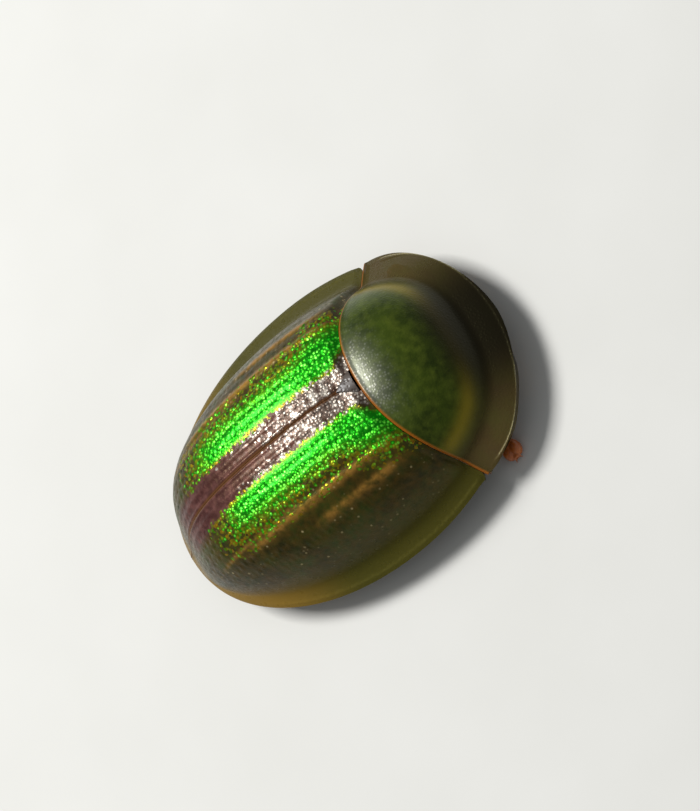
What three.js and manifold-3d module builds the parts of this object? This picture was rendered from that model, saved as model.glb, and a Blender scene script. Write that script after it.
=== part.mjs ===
// A tortoise beetle at life size, standing on a flat floor.
// Millimetres, +Z up, head towards -Y, the beetle's left side at +X.
// The origin is the middle of the footprint at floor level.
import * as THREE from "three";
import Module from "manifold-3d";

const wasm = await Module();
wasm.setup();

// Driving dimensions of the whole beetle
const LENGTH = 5.8;
const HALF_WIDTH = 2.07;
const HEIGHT = 1.9;
const RIM_HEIGHT = 0.42;
const RIM_LOWEST_Y = 0.3;
const RIM_LIFT = 0.1;
const RIM_LIFT_LENGTH = 2.4;
const RIM_LIFT_LIMIT = 1.6;
const GAP = 0.04;

// Wing cases
const WIDEST_Y = -0.14;
const SHOULDER_Y = -1.47;
const SHOULDER_HALF_WIDTH = 1.845;
const TAIL_ROUNDNESS = 2.09;
const MARGIN_RISE = 0.13;
const MARGIN_STEEPNESS = 6;
const TAIL_STEEPNESS = 12;
const DOME_WIDTH_SHARE = 0.83;
const DOME_END_Y = 2.8;
const DOME_FULLNESS = 3;
const DOME_SHAPE = 0.62;
const DOME_FOOT_BEND = 0.1;
const FRONT_DROP = 0.12;
const FRONT_DROP_START_Y = 0.1;
const FRONT_DROP_LENGTH = 1.05;
const CASE_THICKNESS = 0.46;
const EDGE_THICKNESS = 0.13;
const THIN_BELOW_Z = 0.55;
const FULL_ABOVE_Z = 1.2;
const INNER_BEND = 0.05;
const INNER_STRETCH_LIMIT = 1.9;
const SHOULDER_ROUND = 0.05;
const SHOULDER_ROUND_START = 0.85;

// Shield over the head and the front legs
const SHIELD_HALF_WIDTH = 1.83;
const SHIELD_CORNER_Y = -1.53;
const SHIELD_REAR_Y = -1.03;
const SHIELD_REAR_CURVE = 2.03;
const SHIELD_ROUNDNESS = 1.8;
const SHIELD_DOME_Y = -1.05;
const SHIELD_DOME_HALF_WIDTH = 1.5;
const SHIELD_DOME_LENGTH = 1.36;
const SHIELD_DOME_RISE = 1.1;
const SHIELD_DOME_SHAPE = 0.68;
const SHIELD_DOME_ACROSS = 2.5;
const SHIELD_DOME_ALONG = 2;
const SHIELD_MARGIN_RISE = 0.15;
const SHIELD_MARGIN_STEEPNESS = 3;
const SHIELD_THICKNESS = 0.26;

// Small triangular plate between the wing cases
const SCUTELLUM_HALF_WIDTH = 0.17;
const SCUTELLUM_LENGTH = 0.28;
const SCUTELLUM_DEPTH = 0.3;
const SCUTELLUM_SINK = 0.01;

// Underside of the body
const BELLY_HEIGHT = 0.6;
const SIDE_HEIGHT = 0.7;
const BODY_HALF_WIDTH = 1.22;
const PROTHORAX_Y = [-1.82, -1.09];
const PROTHORAX_HALF_WIDTHS = [0.7, 1.0];
const THORAX_Y = [-1.05, 0.5];
const THORAX_FRONT_NARROWING = 0.16;
const ABDOMEN_Y = [0.54, 2.2];
const ABDOMEN_TAPER = 2.4;
const ABDOMEN_END_BLUNTNESS = 0.55;
const ABDOMEN_END_HALF_WIDTH = 0.2;
const ABDOMEN_END_LIFT = 0.06;
const SEGMENT_GROOVE = 0.035;
const SEGMENT_GROOVE_SHARPNESS = 5;
const ABDOMEN_SEGMENTS = 5;

// Head
const HEAD_CENTRE = [0, -2.06, 0.52];
const HEAD_RADII = [0.5, 0.26, 0.34];
const HEAD_SIDE = 0.36;
const HEAD_BOTTOM = 0.26;
const EYE_RADII = [0.13, 0.15, 0.19];
const EYE_FORWARD = 0.02;
const EYE_DROP = 0.03;
const LIP_RADII = [0.19, 0.12, 0.09];
const LIP_FORWARD = 0.08;
const LIP_DROP = 0.05;
const PALP_ROOT = [0.12, 0, -0.06];
const PALP_TIP = [0.24, -0.14, -0.1];
const PALP_RADII = [0.045, 0.025];

// Legs, from the hip outwards. Each place is on the left side.
const HIP_RADII = [0.19, 0.22, 0.17];
const HIP_Z = 0.38;
const THIGH_RADIUS = 0.205;
const KNEE_RADIUS = 0.14;
const KNEE_Z = 0.33;
const SHIN_RADII = [0.105, 0.135];
const ANKLE_Z = 0.17;
const THIGH_ROOT_RADIUS = 0.12;
const KNEE_CAP_START = 0.84;
const TOE_HEIGHT = 0.085;
const FOOT_PADS = [
  { along: 0.15, across: 0, radii: [0.09, 0.09, 0.095] },
  { along: 0.33, across: 0, radii: [0.1, 0.11, 0.095] },
  { along: 0.56, across: 0.065, radii: [0.13, 0.085, 0.095] },
  { along: 0.56, across: -0.065, radii: [0.13, 0.085, 0.095] },
];
const LAST_JOINT = { start: 0.5, end: 0.9, radii: [0.04, 0.052] };
const CLAW = { start: 0.86, rootAcross: 0.015, tipAcross: 0.06, tipZ: 0.04, radii: [0.032, 0.012] };
const LEGS = {
  fore: { hip: [0.36, -1.52], knee: [1.0, -1.42], ankle: [1.38, -1.84], toe: [1.74, -1.64] },
  mid: { hip: [0.45, -0.45], knee: [1.12, -0.68], ankle: [1.42, -0.1], toe: [1.5, 0.36] },
  hind: { hip: [0.5, 0.42], knee: [1.12, 0.78], ankle: [1.3, 1.36], toe: [1.2, 1.82] },
};
const RIGHT_FORE_TOE = [1.76, -1.88];

// Feelers, eleven short beads each, tucked under the shield. The path is on the left side.
const FEELER_PATH = [
  [0.15, -2.38, 0.36],
  [0.42, -2.5, 0.29],
  [0.74, -2.46, 0.26],
  [0.98, -2.3, 0.25],
  [1.12, -2.12, 0.24],
];
const FEELER_BEADS = 11;
const FEELER_RADII = [0.08, 0.11];
const FEELER_SWELLING = [0.35, 0.7];
const FEELER_NECK = 0.72;
const FEELER_TIP = 0.4;

const { PI, abs, cos, hypot, max, min, sin, sqrt } = Math;
const TAIL_Y = LENGTH / 2;

// Rounded form of max(t, 0), with a bend of about the given radius.
function softPositive(t, radius) {
  return (t + sqrt(t * t + radius * radius)) / 2;
}

// The same form, scaled to reach 1 at t = 1.
function rise(t, bend) {
  return softPositive(t, bend) / softPositive(1, bend);
}

// A value part of the way from the first to the second of a pair.
function between([first, second], t) {
  return first + (second - first) * t;
}

// Smooth step from 0 to 1 while t goes from low to high.
function smooth(t, low, high) {
  const s = min(1, max(0, (t - low) / (high - low)));
  return s * s * (3 - 2 * s);
}

// Half width of the wing cases at y.
function halfWidth(y) {
  if (y <= WIDEST_Y) {
    const f = (WIDEST_Y - y) / (WIDEST_Y - SHOULDER_Y);
    return HALF_WIDTH - (HALF_WIDTH - SHOULDER_HALF_WIDTH) * f * f;
  }
  const r = min(1, (y - WIDEST_Y) / (TAIL_Y - WIDEST_Y));
  return HALF_WIDTH * (1 - r ** TAIL_ROUNDNESS) ** (1 / TAIL_ROUNDNESS);
}

// Height of the rim, lowest at mid length.
function rimHeight(y) {
  return RIM_HEIGHT + RIM_LIFT * min(RIM_LIFT_LIMIT, ((y - RIM_LOWEST_Y) / RIM_LIFT_LENGTH) ** 2);
}

// Outer surface of the wing cases: a dome with a narrow sloping margin.
function caseOuter(x, y) {
  const w = max(halfWidth(y), 0.001);
  const across = rise(1 - (abs(x) / (w * DOME_WIDTH_SHARE)) ** DOME_FULLNESS, DOME_FOOT_BEND);
  const along = rise(1 - (max(y, 0) / DOME_END_Y) ** DOME_FULLNESS, DOME_FOOT_BEND);
  const front = 1 - FRONT_DROP * (max(FRONT_DROP_START_Y - y, 0) / FRONT_DROP_LENGTH) ** 2;
  const full = (HEIGHT - RIM_HEIGHT - MARGIN_RISE) * front;
  const edge = 1 - min(1, abs(x) / w) ** MARGIN_STEEPNESS;
  const tail = 1 - min(1, max(y, 0) / TAIL_Y) ** TAIL_STEEPNESS;
  return rimHeight(y) + MARGIN_RISE * edge * tail + full * (across * along * tail) ** DOME_SHAPE;
}

// Inner surface below an outer one, for a wall of the given full thickness.
function innerOf(outer, fullThickness, x, y) {
  const step = 0.02;
  const z = outer(x, y);
  const slopeX = (outer(x + step, y) - outer(x - step, y)) / (2 * step);
  const slopeY = (outer(x, y + step) - outer(x, y - step)) / (2 * step);
  const stretch = min(INNER_STRETCH_LIMIT, hypot(1, slopeX, slopeY));
  const thick = between([EDGE_THICKNESS, fullThickness], smooth(z, THIN_BELOW_Z, FULL_ABOVE_Z));
  const under = rimHeight(y) - EDGE_THICKNESS;
  return under + softPositive(z - thick * stretch - under, INNER_BEND);
}

function caseInner(x, y) {
  return min(innerOf(caseOuter, CASE_THICKNESS, x, y), caseOuter(x, y) - EDGE_THICKNESS);
}

// Rear edge of the shield, which the wing cases follow.
function shieldRear(x) {
  const t = min(1, abs(x) / SHIELD_HALF_WIDTH);
  return between([SHIELD_REAR_Y, SHIELD_CORNER_Y], t ** SHIELD_REAR_CURVE);
}

// Front edge of the shield.
function shieldFront(x) {
  const t = min(1, abs(x) / SHIELD_HALF_WIDTH);
  const reach = TAIL_Y + SHIELD_CORNER_Y;
  return SHIELD_CORNER_Y - reach * (1 - t ** SHIELD_ROUNDNESS) ** (1 / SHIELD_ROUNDNESS);
}

// Outer surface of the shield: a dome over the rear two thirds and a wide sloping margin.
function shieldOuter(x, y) {
  const across = (abs(x) / SHIELD_DOME_HALF_WIDTH) ** SHIELD_DOME_ACROSS;
  const along = (max(0, SHIELD_DOME_Y - y) / SHIELD_DOME_LENGTH) ** SHIELD_DOME_ALONG;
  const dome = rise(1 - across - along, DOME_FOOT_BEND) ** SHIELD_DOME_SHAPE;
  const reach = max(0, SHIELD_CORNER_Y - y) / (TAIL_Y + SHIELD_CORNER_Y);
  const edge = min(1, (abs(x) / SHIELD_HALF_WIDTH) ** 2 + reach ** 2) ** SHIELD_MARGIN_STEEPNESS;
  return rimHeight(SHIELD_CORNER_Y) + SHIELD_MARGIN_RISE * (1 - edge) + SHIELD_DOME_RISE * dome;
}

function shieldInner(x, y) {
  const inner = innerOf(shieldOuter, SHIELD_THICKNESS, x, y);
  return min(inner, shieldOuter(x, y) - EDGE_THICKNESS);
}

// A closed mesh from points and triangles. Equal points are joined and empty triangles dropped.
function closedGeometry(points, faces) {
  const keys = new Map();
  const kept = [];
  const index = points.map((p) => {
    const key = p.map((c) => c.toFixed(3)).join(" ");
    if (!keys.has(key)) {
      keys.set(key, kept.length);
      kept.push(p);
    }
    return keys.get(key);
  });
  const tris = faces
    .map((f) => f.map((i) => index[i]))
    .filter(([a, b, c]) => a !== b && b !== c && c !== a);
  let volume = 0;
  for (const f of tris) {
    const [a, b, c] = f.map((i) => new THREE.Vector3(...kept[i]));
    volume += a.dot(b.cross(c));
  }
  if (volume < 0) tris.forEach((f) => f.reverse());
  const geometry = new THREE.BufferGeometry();
  geometry.setAttribute("position", new THREE.Float32BufferAttribute(kept.flat(), 3));
  geometry.setIndex(tris.flat());
  return geometry;
}

// A sheet with an upper and a lower face over a grid, closed round its four edges.
function sheet(columns, rows, upper, lower) {
  const points = [];
  const at = (side, i, j) => side * (columns + 1) * (rows + 1) + j * (columns + 1) + i;
  for (const face of [upper, lower]) {
    for (let j = 0; j <= rows; j++) {
      for (let i = 0; i <= columns; i++) points.push(face(i / columns, j / rows));
    }
  }
  const faces = [];
  const quad = (a, b, c, d) => faces.push([a, b, c], [a, c, d]);
  for (let j = 0; j < rows; j++) {
    for (let i = 0; i < columns; i++) {
      quad(at(0, i, j), at(0, i + 1, j), at(0, i + 1, j + 1), at(0, i, j + 1));
      const [a, b, c, d] = [at(1, i, j), at(1, i + 1, j), at(1, i + 1, j + 1), at(1, i, j + 1)];
      faces.push([c, b, a], [d, c, a]);
    }
  }
  for (let i = 0; i < columns; i++) {
    quad(at(0, i + 1, 0), at(0, i, 0), at(1, i, 0), at(1, i + 1, 0));
    quad(at(0, i, rows), at(0, i + 1, rows), at(1, i + 1, rows), at(1, i, rows));
  }
  for (let j = 0; j < rows; j++) {
    quad(at(0, 0, j), at(0, 0, j + 1), at(1, 0, j + 1), at(1, 0, j));
    quad(at(0, columns, j + 1), at(0, columns, j), at(1, columns, j), at(1, columns, j + 1));
  }
  return closedGeometry(points, faces);
}

// A body through rings of equally many points, closed by a fan at each end.
function loft(rings) {
  const count = rings[0].length;
  const points = rings.flat();
  const faces = [];
  for (let j = 0; j + 1 < rings.length; j++) {
    for (let i = 0; i < count; i++) {
      const a = j * count + i;
      const b = j * count + ((i + 1) % count);
      faces.push([a, b, b + count], [a, b + count, a + count]);
    }
  }
  const last = (rings.length - 1) * count;
  for (const [start, ring, turn] of [
    [0, rings[0], true],
    [last, rings[rings.length - 1], false],
  ]) {
    const centre = [0, 1, 2].map((k) => ring.reduce((sum, p) => sum + p[k], 0) / count);
    const middle = points.push(centre) - 1;
    for (let i = 0; i < count; i++) {
      const a = start + i;
      const b = start + ((i + 1) % count);
      faces.push(turn ? [middle, b, a] : [middle, a, b]);
    }
  }
  return closedGeometry(points, faces);
}

// A limb from a to b with a radius for each fraction of its length and a rounded far end.
function limb(a, b, radiusAt, rows, sides) {
  const from = new THREE.Vector3(...a);
  const along = new THREE.Vector3(...b).sub(from);
  const axis = along.clone().normalize();
  const flat = new THREE.Vector3(0, 0, 1).cross(axis).normalize();
  const up = axis.clone().cross(flat);
  const rings = [];
  for (let j = 0; j <= rows; j++) {
    const t = j / rows;
    const centre = from.clone().addScaledVector(along, t);
    const ring = [];
    for (let i = 0; i < sides; i++) {
      const turn = (2 * PI * (i + 0.5)) / sides;
      const p = centre
        .clone()
        .addScaledVector(flat, radiusAt(t) * cos(turn))
        .addScaledVector(up, radiusAt(t) * sin(turn));
      ring.push(p.toArray());
    }
    rings.push(ring);
  }
  return loft(rings);
}

// An ellipsoid whose long axis lies along a direction in the floor plane, cut flat where shape says.
function ellipsoid(centre, radii, heading = 0, sides = 10, shape = (p) => p) {
  const ball = new THREE.SphereGeometry(1, sides, max(6, sides - 4));
  ball.rotateX(PI / 2);
  ball.scale(...radii);
  ball.rotateZ(heading);
  ball.translate(...centre);
  const position = ball.getAttribute("position");
  const points = [];
  for (let i = 0; i < position.count; i++) {
    points.push(shape([position.getX(i), position.getY(i), position.getZ(i)]));
  }
  const index = ball.getIndex().array;
  const faces = [];
  for (let i = 0; i < index.length; i += 3) faces.push([index[i], index[i + 1], index[i + 2]]);
  return closedGeometry(points, faces);
}

function toSolid(geometry) {
  return new wasm.Manifold(
    new wasm.Mesh({
      numProp: 3,
      vertProperties: geometry.getAttribute("position").array,
      triVerts: new Uint32Array(geometry.getIndex().array),
    }),
  );
}

// Several closed shapes fused into one body.
function fuse(geometries) {
  const solid = geometries.map(toSolid).reduce((all, next) => all.add(next));
  const bodies = solid.decompose().sort((a, b) => b.volume() - a.volume());
  const mesh = bodies[0].getMesh();
  const geometry = new THREE.BufferGeometry();
  geometry.setAttribute("position", new THREE.Float32BufferAttribute(mesh.vertProperties, 3));
  geometry.setIndex([...mesh.triVerts]);
  return geometry;
}

// Colours and finishes
const FINISHES = {
  wing_case: { color: 0x6f7a2e, roughness: 0.28, metalness: 0.25 },
  shield: { color: 0x5f6b33, roughness: 0.25, metalness: 0.15 },
  scutellum: { color: 0x4a4436, roughness: 0.35, metalness: 0.3 },
  underside: { color: 0x1c1712, roughness: 0.4, metalness: 0 },
  abdomen: { color: 0x2a2015, roughness: 0.4, metalness: 0 },
  head: { color: 0x15110d, roughness: 0.35, metalness: 0 },
  eye: { color: 0x0a0a0b, roughness: 0.15, metalness: 0 },
  mouth: { color: 0x8a5a22, roughness: 0.45, metalness: 0 },
  feeler: { color: 0xc08a3a, roughness: 0.45, metalness: 0 },
  leg: { color: 0xb4582a, roughness: 0.4, metalness: 0 },
};

const beetle = new THREE.Group();

function addNode(name, geometry, finish) {
  const material = new THREE.MeshStandardMaterial({ name: finish, ...FINISHES[finish] });
  geometry.computeVertexNormals();
  const mesh = new THREE.Mesh(geometry, material);
  mesh.name = name;
  beetle.add(mesh);
}

// Inner edge of a wing case: the seam, opened at the front for the scutellum.
function seamEdge(y) {
  const notch = (SCUTELLUM_HALF_WIDTH + GAP) * (1 - (y - SHIELD_REAR_Y - GAP) / (SCUTELLUM_LENGTH + GAP));
  return max(GAP / 2, min(SCUTELLUM_HALF_WIDTH + GAP, notch));
}

// A place on the plan of a wing case: u from the seam to the rim, v from front to tail.
function casePlace(side, u, v) {
  let x = u * SHOULDER_HALF_WIDTH;
  let front = 0;
  for (let pass = 0; pass < 6; pass++) {
    const corner = max(0, (u - SHOULDER_ROUND_START) / (1 - SHOULDER_ROUND_START));
    front = shieldRear(x) + GAP + SHOULDER_ROUND * corner ** 2;
    x = seamEdge(front) + u * (halfWidth(front) - seamEdge(front));
  }
  const y = v === 1 ? TAIL_Y : front + (TAIL_Y - front) * sin((v * PI) / 2);
  const inner = seamEdge(y);
  return [side * (inner + u * (max(halfWidth(y), inner) - inner)), y];
}

function wingCase(side) {
  const place = (surface) => (u, v) => {
    const [x, y] = casePlace(side, sin((u * PI) / 2) ** 0.9, v);
    return [x, y, surface(x, y)];
  };
  return sheet(14, 22, place(caseOuter), place(caseInner));
}

function shield() {
  const place = (surface) => (u, v) => {
    const x = u === 0 || u === 1 ? SHIELD_HALF_WIDTH * (2 * u - 1) : -SHIELD_HALF_WIDTH * cos(u * PI);
    const y = shieldRear(x) + (shieldFront(x) - shieldRear(x)) * v;
    return [x, y, surface(x, y)];
  };
  return sheet(26, 10, place(shieldOuter), place(shieldInner));
}

function scutellum() {
  const place = (sink) => (u, v) => {
    const y = SHIELD_REAR_Y + GAP + SCUTELLUM_LENGTH * v;
    const x = SCUTELLUM_HALF_WIDTH * (2 * u - 1) * (1 - v);
    return [x, y, caseOuter(x, y) - sink];
  };
  return sheet(2, 3, place(SCUTELLUM_SINK), place(SCUTELLUM_DEPTH));
}

// Space for the body below the shield and the wing cases.
function roof(x, y) {
  const underCases = y > shieldRear(x) - 0.12 ? caseInner(x, y) : 9;
  const underShield = y < shieldRear(x) + 0.12 ? shieldInner(x, y) : 9;
  return max(SIDE_HEIGHT + 0.02, min(underCases, underShield) - GAP);
}

// One length of the body: domed above, nearly flat below, with a flat face at each end.
function bodyLength([start, end], widthAt, rows, bellyAt) {
  const sides = 20;
  const rings = [];
  for (let j = 0; j <= rows; j++) {
    const y = start + ((end - start) * j) / rows;
    const ring = [];
    for (let i = 0; i < sides; i++) {
      const turn = (2 * PI * i) / sides;
      const x = widthAt(y) * cos(turn);
      const bulge = sqrt(1 - cos(turn) ** 4);
      const far = sin(turn) >= 0 ? roof(x, y) : bellyAt(y);
      ring.push([x, y, SIDE_HEIGHT + (far - SIDE_HEIGHT) * bulge]);
    }
    rings.push(ring);
  }
  return loft(rings);
}

function prothorax() {
  const widthAt = (y) => between(PROTHORAX_HALF_WIDTHS, smooth(y, ...PROTHORAX_Y));
  return bodyLength(PROTHORAX_Y, widthAt, 4, () => BELLY_HEIGHT);
}

function thorax() {
  const widthAt = (y) => BODY_HALF_WIDTH - THORAX_FRONT_NARROWING * smooth(-y, 0, -THORAX_Y[0]);
  return bodyLength(THORAX_Y, widthAt, 6, () => BELLY_HEIGHT);
}

// The abdomen has a groove between one segment and the next.
function abdomen() {
  const [start, end] = ABDOMEN_Y;
  const widthAt = (y) => {
    const t = (y - start) / (end - start);
    const taper = (1 - t ** ABDOMEN_TAPER) ** ABDOMEN_END_BLUNTNESS;
    return BODY_HALF_WIDTH * taper + ABDOMEN_END_HALF_WIDTH * t;
  };
  const bellyAt = (y) => {
    const t = ((y - start) / (end - start)) * ABDOMEN_SEGMENTS;
    const groove = max(0, 1 - abs(t - Math.round(t)) * SEGMENT_GROOVE_SHARPNESS);
    const lift = ABDOMEN_END_LIFT * smooth(y, (start + end) / 2, end);
    return BELLY_HEIGHT + SEGMENT_GROOVE * groove + lift;
  };
  return bodyLength(ABDOMEN_Y, widthAt, 15, bellyAt);
}

function head() {
  const shape = ([x, y, z]) => {
    const side = max(-HEAD_SIDE, min(HEAD_SIDE, x));
    const top = min(z, shieldInner(side, y) - GAP);
    return [side, min(y, PROTHORAX_Y[0] - GAP), max(HEAD_BOTTOM, top)];
  };
  return ellipsoid(HEAD_CENTRE, HEAD_RADII, 0, 16, shape);
}

function eye(side) {
  const inside = HEAD_SIDE + GAP;
  const centre = [side * inside, HEAD_CENTRE[1] - EYE_FORWARD, HEAD_CENTRE[2] - EYE_DROP];
  const shape = ([x, y, z]) => [side * max(inside, side * x), y, z];
  return ellipsoid(centre, EYE_RADII, 0, 10, shape);
}

function mouthparts() {
  const front = HEAD_CENTRE[1] - LIP_FORWARD;
  const top = HEAD_BOTTOM - GAP;
  const shape = ([x, y, z]) => [x, y, min(z, top)];
  const parts = [ellipsoid([0, front, top - LIP_DROP], LIP_RADII, 0, 8, shape)];
  for (const side of [-1, 1]) {
    const [root, tip] = [PALP_ROOT, PALP_TIP].map(([x, y, z]) => [side * x, front + y, top + z]);
    parts.push(limb(root, tip, (t) => between(PALP_RADII, t), 2, 6));
  }
  return fuse(parts);
}

// Feeler: a chain of beads along the path, a little thicker in its outer half.
function feeler(side) {
  const curve = new THREE.CatmullRomCurve3(
    FEELER_PATH.map(([x, y, z]) => new THREE.Vector3(side * x, y, z)),
  );
  const sides = 6;
  const perBead = 3;
  const steps = FEELER_BEADS * perBead;
  const rings = [];
  for (let j = 0; j <= steps; j++) {
    const t = j / steps;
    const centre = curve.getPointAt(t);
    const axis = curve.getTangentAt(t);
    const flat = new THREE.Vector3(0, 0, 1).cross(axis).normalize();
    const up = axis.clone().cross(flat);
    const neck = j % perBead === 0 ? FEELER_NECK : 1;
    const tip = j === steps ? FEELER_TIP : 1;
    const full = between(FEELER_RADII, smooth(t, ...FEELER_SWELLING));
    const ring = [];
    for (let i = 0; i < sides; i++) {
      const turn = (2 * PI * i) / sides;
      const r = full * neck * tip;
      ring.push(
        centre.clone().addScaledVector(flat, r * cos(turn)).addScaledVector(up, r * sin(turn)).toArray(),
      );
    }
    rings.push(ring);
  }
  return loft(rings);
}

// Hip and thigh as one body: a short ball under the belly and a spindle out to the knee.
function thigh(side, { hip, knee }) {
  const root = [side * hip[0], hip[1], HIP_Z];
  const end = [side * knee[0], knee[1], KNEE_Z];
  const radiusAt = (t) => {
    const swelling = sin(PI * min(1, t * 0.85 + 0.12)) ** 0.8;
    const spindle = between([THIGH_ROOT_RADIUS, THIGH_RADIUS], swelling);
    const cap = sqrt(max(0.05, 1 - max(0, (t - KNEE_CAP_START) / (1 - KNEE_CAP_START)) ** 2));
    return max(spindle, KNEE_RADIUS * smooth(t, 0.5, 0.8)) * cap;
  };
  return fuse([ellipsoid(root, HIP_RADII, 0, 10), limb(root, end, radiusAt, 9, 10)]);
}

function shin(side, { knee, ankle }) {
  const from = new THREE.Vector3(side * knee[0], knee[1], KNEE_Z - 0.02);
  const to = new THREE.Vector3(side * ankle[0], ankle[1], ANKLE_Z);
  const axis = to.clone().sub(from).normalize();
  const start = from.clone().addScaledVector(axis, KNEE_RADIUS * 0.75 + GAP);
  const radiusAt = (t) => between(SHIN_RADII, t ** 1.5);
  return limb(start.toArray(), to.toArray(), radiusAt, 4, 8);
}

// Foot: two small pads, a wide pad of two lobes, and a slim last joint with two claws.
function foot(side, { ankle, toe }) {
  const dx = side * (toe[0] - ankle[0]);
  const dy = toe[1] - ankle[1];
  const length = hypot(dx, dy);
  const heading = Math.atan2(dy, dx);
  const place = (along, across) => [
    side * ankle[0] + cos(heading) * along - sin(heading) * across,
    ankle[1] + sin(heading) * along + cos(heading) * across,
    TOE_HEIGHT,
  ];
  const floor = ([x, y, z]) => [x, y, max(0, z)];
  const parts = FOOT_PADS.map(({ along, across, radii }) =>
    ellipsoid(place(along * length, across), radii, heading, 8, floor),
  );
  const joint = place(LAST_JOINT.start * length, 0);
  const wrist = place(LAST_JOINT.end * length, 0);
  parts.push(limb(joint, wrist, (t) => between(LAST_JOINT.radii, t), 2, 6));
  for (const across of [-1, 1]) {
    const root = place(CLAW.start * length, across * CLAW.rootAcross);
    const tip = place(length, across * CLAW.tipAcross);
    tip[2] = CLAW.tipZ;
    parts.push(limb(root, tip, (t) => between(CLAW.radii, t), 2, 5));
  }
  return fuse(parts);
}

addNode("pronotum", shield(), "shield");
addNode("scutellum", scutellum(), "scutellum");
addNode("prothorax", prothorax(), "underside");
addNode("thorax", thorax(), "underside");
addNode("abdomen", abdomen(), "abdomen");
addNode("head", head(), "head");
addNode("mouthparts", mouthparts(), "mouth");
for (const [word, side] of [["left", 1], ["right", -1]]) {
  addNode(`elytron_${word}`, wingCase(side), "wing_case");
  addNode(`eye_${word}`, eye(side), "eye");
  addNode(`antenna_${word}`, feeler(side), "feeler");
  for (const [pair, places] of Object.entries(LEGS)) {
    const reaching = pair === "fore" && side < 0;
    const leg = reaching ? { ...places, toe: RIGHT_FORE_TOE } : places;
    addNode(`femur_${pair}_${word}`, thigh(side, leg), "leg");
    addNode(`tibia_${pair}_${word}`, shin(side, leg), "leg");
    addNode(`tarsus_${pair}_${word}`, foot(side, leg), "leg");
  }
}

export default beetle;
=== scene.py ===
"""A tortoise beetle at life size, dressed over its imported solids, in a plain studio.

Shapes are worked out in millimetres and brought into metres when a piece is finished.
The head points towards -Y and the beetle's left side lies at +X. Colours reach the
surface through masks: numbers from 0 to 1 on the vertices, which the finishes read.
"""

import logging
import math
from collections.abc import Callable, Sequence
from dataclasses import dataclass, field, replace
from enum import Enum
from functools import partial

import bmesh
import bpy
import numpy as np
from mathutils import Matrix, Vector

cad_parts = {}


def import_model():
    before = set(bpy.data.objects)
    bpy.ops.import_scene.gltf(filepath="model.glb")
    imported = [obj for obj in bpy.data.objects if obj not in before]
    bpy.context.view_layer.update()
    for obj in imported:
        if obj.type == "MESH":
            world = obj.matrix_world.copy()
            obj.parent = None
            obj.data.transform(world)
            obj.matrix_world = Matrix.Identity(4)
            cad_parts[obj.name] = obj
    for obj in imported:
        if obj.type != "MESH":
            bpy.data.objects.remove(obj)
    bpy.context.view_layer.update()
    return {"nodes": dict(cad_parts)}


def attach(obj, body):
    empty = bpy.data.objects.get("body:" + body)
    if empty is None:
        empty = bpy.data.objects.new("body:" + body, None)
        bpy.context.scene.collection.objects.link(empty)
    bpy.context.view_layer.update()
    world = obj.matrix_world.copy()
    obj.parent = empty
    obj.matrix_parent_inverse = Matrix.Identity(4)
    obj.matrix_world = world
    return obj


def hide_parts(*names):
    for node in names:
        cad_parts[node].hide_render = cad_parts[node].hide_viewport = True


LOG = logging.getLogger("beetle")
METRES = 0.001
UP = Vector((0, 0, 1))

Array = np.ndarray
Values = float | np.ndarray
Rule = Callable[[Array], Array]
Colour = tuple[float, float, float, float]
Triple = tuple[float, float, float]
Double = tuple[float, float]
Socket = bpy.types.NodeSocket
Tree = bpy.types.NodeTree
Material = bpy.types.Material
Piece = bpy.types.Object

# Sockets of the colour mix node, which has several of the same name.
MIX_SHARE, MIX_BELOW, MIX_ABOVE, MIX_RESULT = 0, 6, 7, 2


class Side(Enum):
    """The two sides of the body, with the sign of X on each."""

    LEFT = 1
    RIGHT = -1

    @property
    def word(self) -> str:
        """The side's name as node names spell it."""
        return self.name.lower()


class Pair(Enum):
    """The three pairs of legs."""

    FORE = "fore"
    MID = "mid"
    HIND = "hind"


def hex_colour(code: str) -> Colour:
    """Turn an sRGB hex code into linear colour.

    Args:
        code: Six hex digits, with or without a leading hash.

    Returns:
        Linear red, green and blue, and an alpha of 1.
    """
    digits = code.lstrip("#")
    channels = [int(digits[i : i + 2], 16) / 255 for i in (0, 2, 4)]
    linear = [c / 12.92 if c <= 0.04045 else ((c + 0.055) / 1.055) ** 2.4 for c in channels]
    return (*linear, 1.0)


def soft_positive(t: Values, radius: float) -> Values:
    """Rounded form of max(t, 0), with a bend of about the given radius."""
    return (t + np.sqrt(t * t + radius * radius)) / 2


def smooth(t: Values, low: float, high: float) -> Values:
    """Smooth step from 0 at low to 1 at high."""
    s = np.clip((t - low) / (high - low), 0, 1)
    return s * s * (3 - 2 * s)


def swell(t: Values, middle: float, width: float) -> Values:
    """Bell curve: 1 at the middle, and near 0 at twice the width on each side."""
    return np.exp(-(((t - middle) / width) ** 2))


def scatter(a: Array, b: Array, seed: float) -> Array:
    """A repeatable draw between 0 and 1 for each pair of whole numbers, by large unrelated factors."""
    value = np.sin(a * 127.1 + b * 311.7 + seed * 74.7) * 43758.5453
    return value - np.floor(value)


@dataclass(frozen=True)
class Fade:
    """A soft change between two places."""

    start: float
    end: float

    def rise(self, t: Values) -> Values:
        """From 0 before the start to 1 after the end."""
        return smooth(t, self.start, self.end)

    def fall(self, t: Values) -> Values:
        """From 1 before the start to 0 after the end."""
        return 1 - smooth(t, self.start, self.end)


@dataclass(frozen=True)
class Stretch:
    """A stretch with soft ends, each as wide as the edge."""

    start: float
    end: float
    edge: float

    def inside(self, t: Values) -> Values:
        """One inside the stretch and 0 outside.

        Args:
            t: Places along the stretch.

        Returns:
            The share at each place.
        """
        half = self.edge / 2
        begun = smooth(t, self.start - half, self.start + half)
        return begun * (1 - smooth(t, self.end - half, self.end + half))


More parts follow.
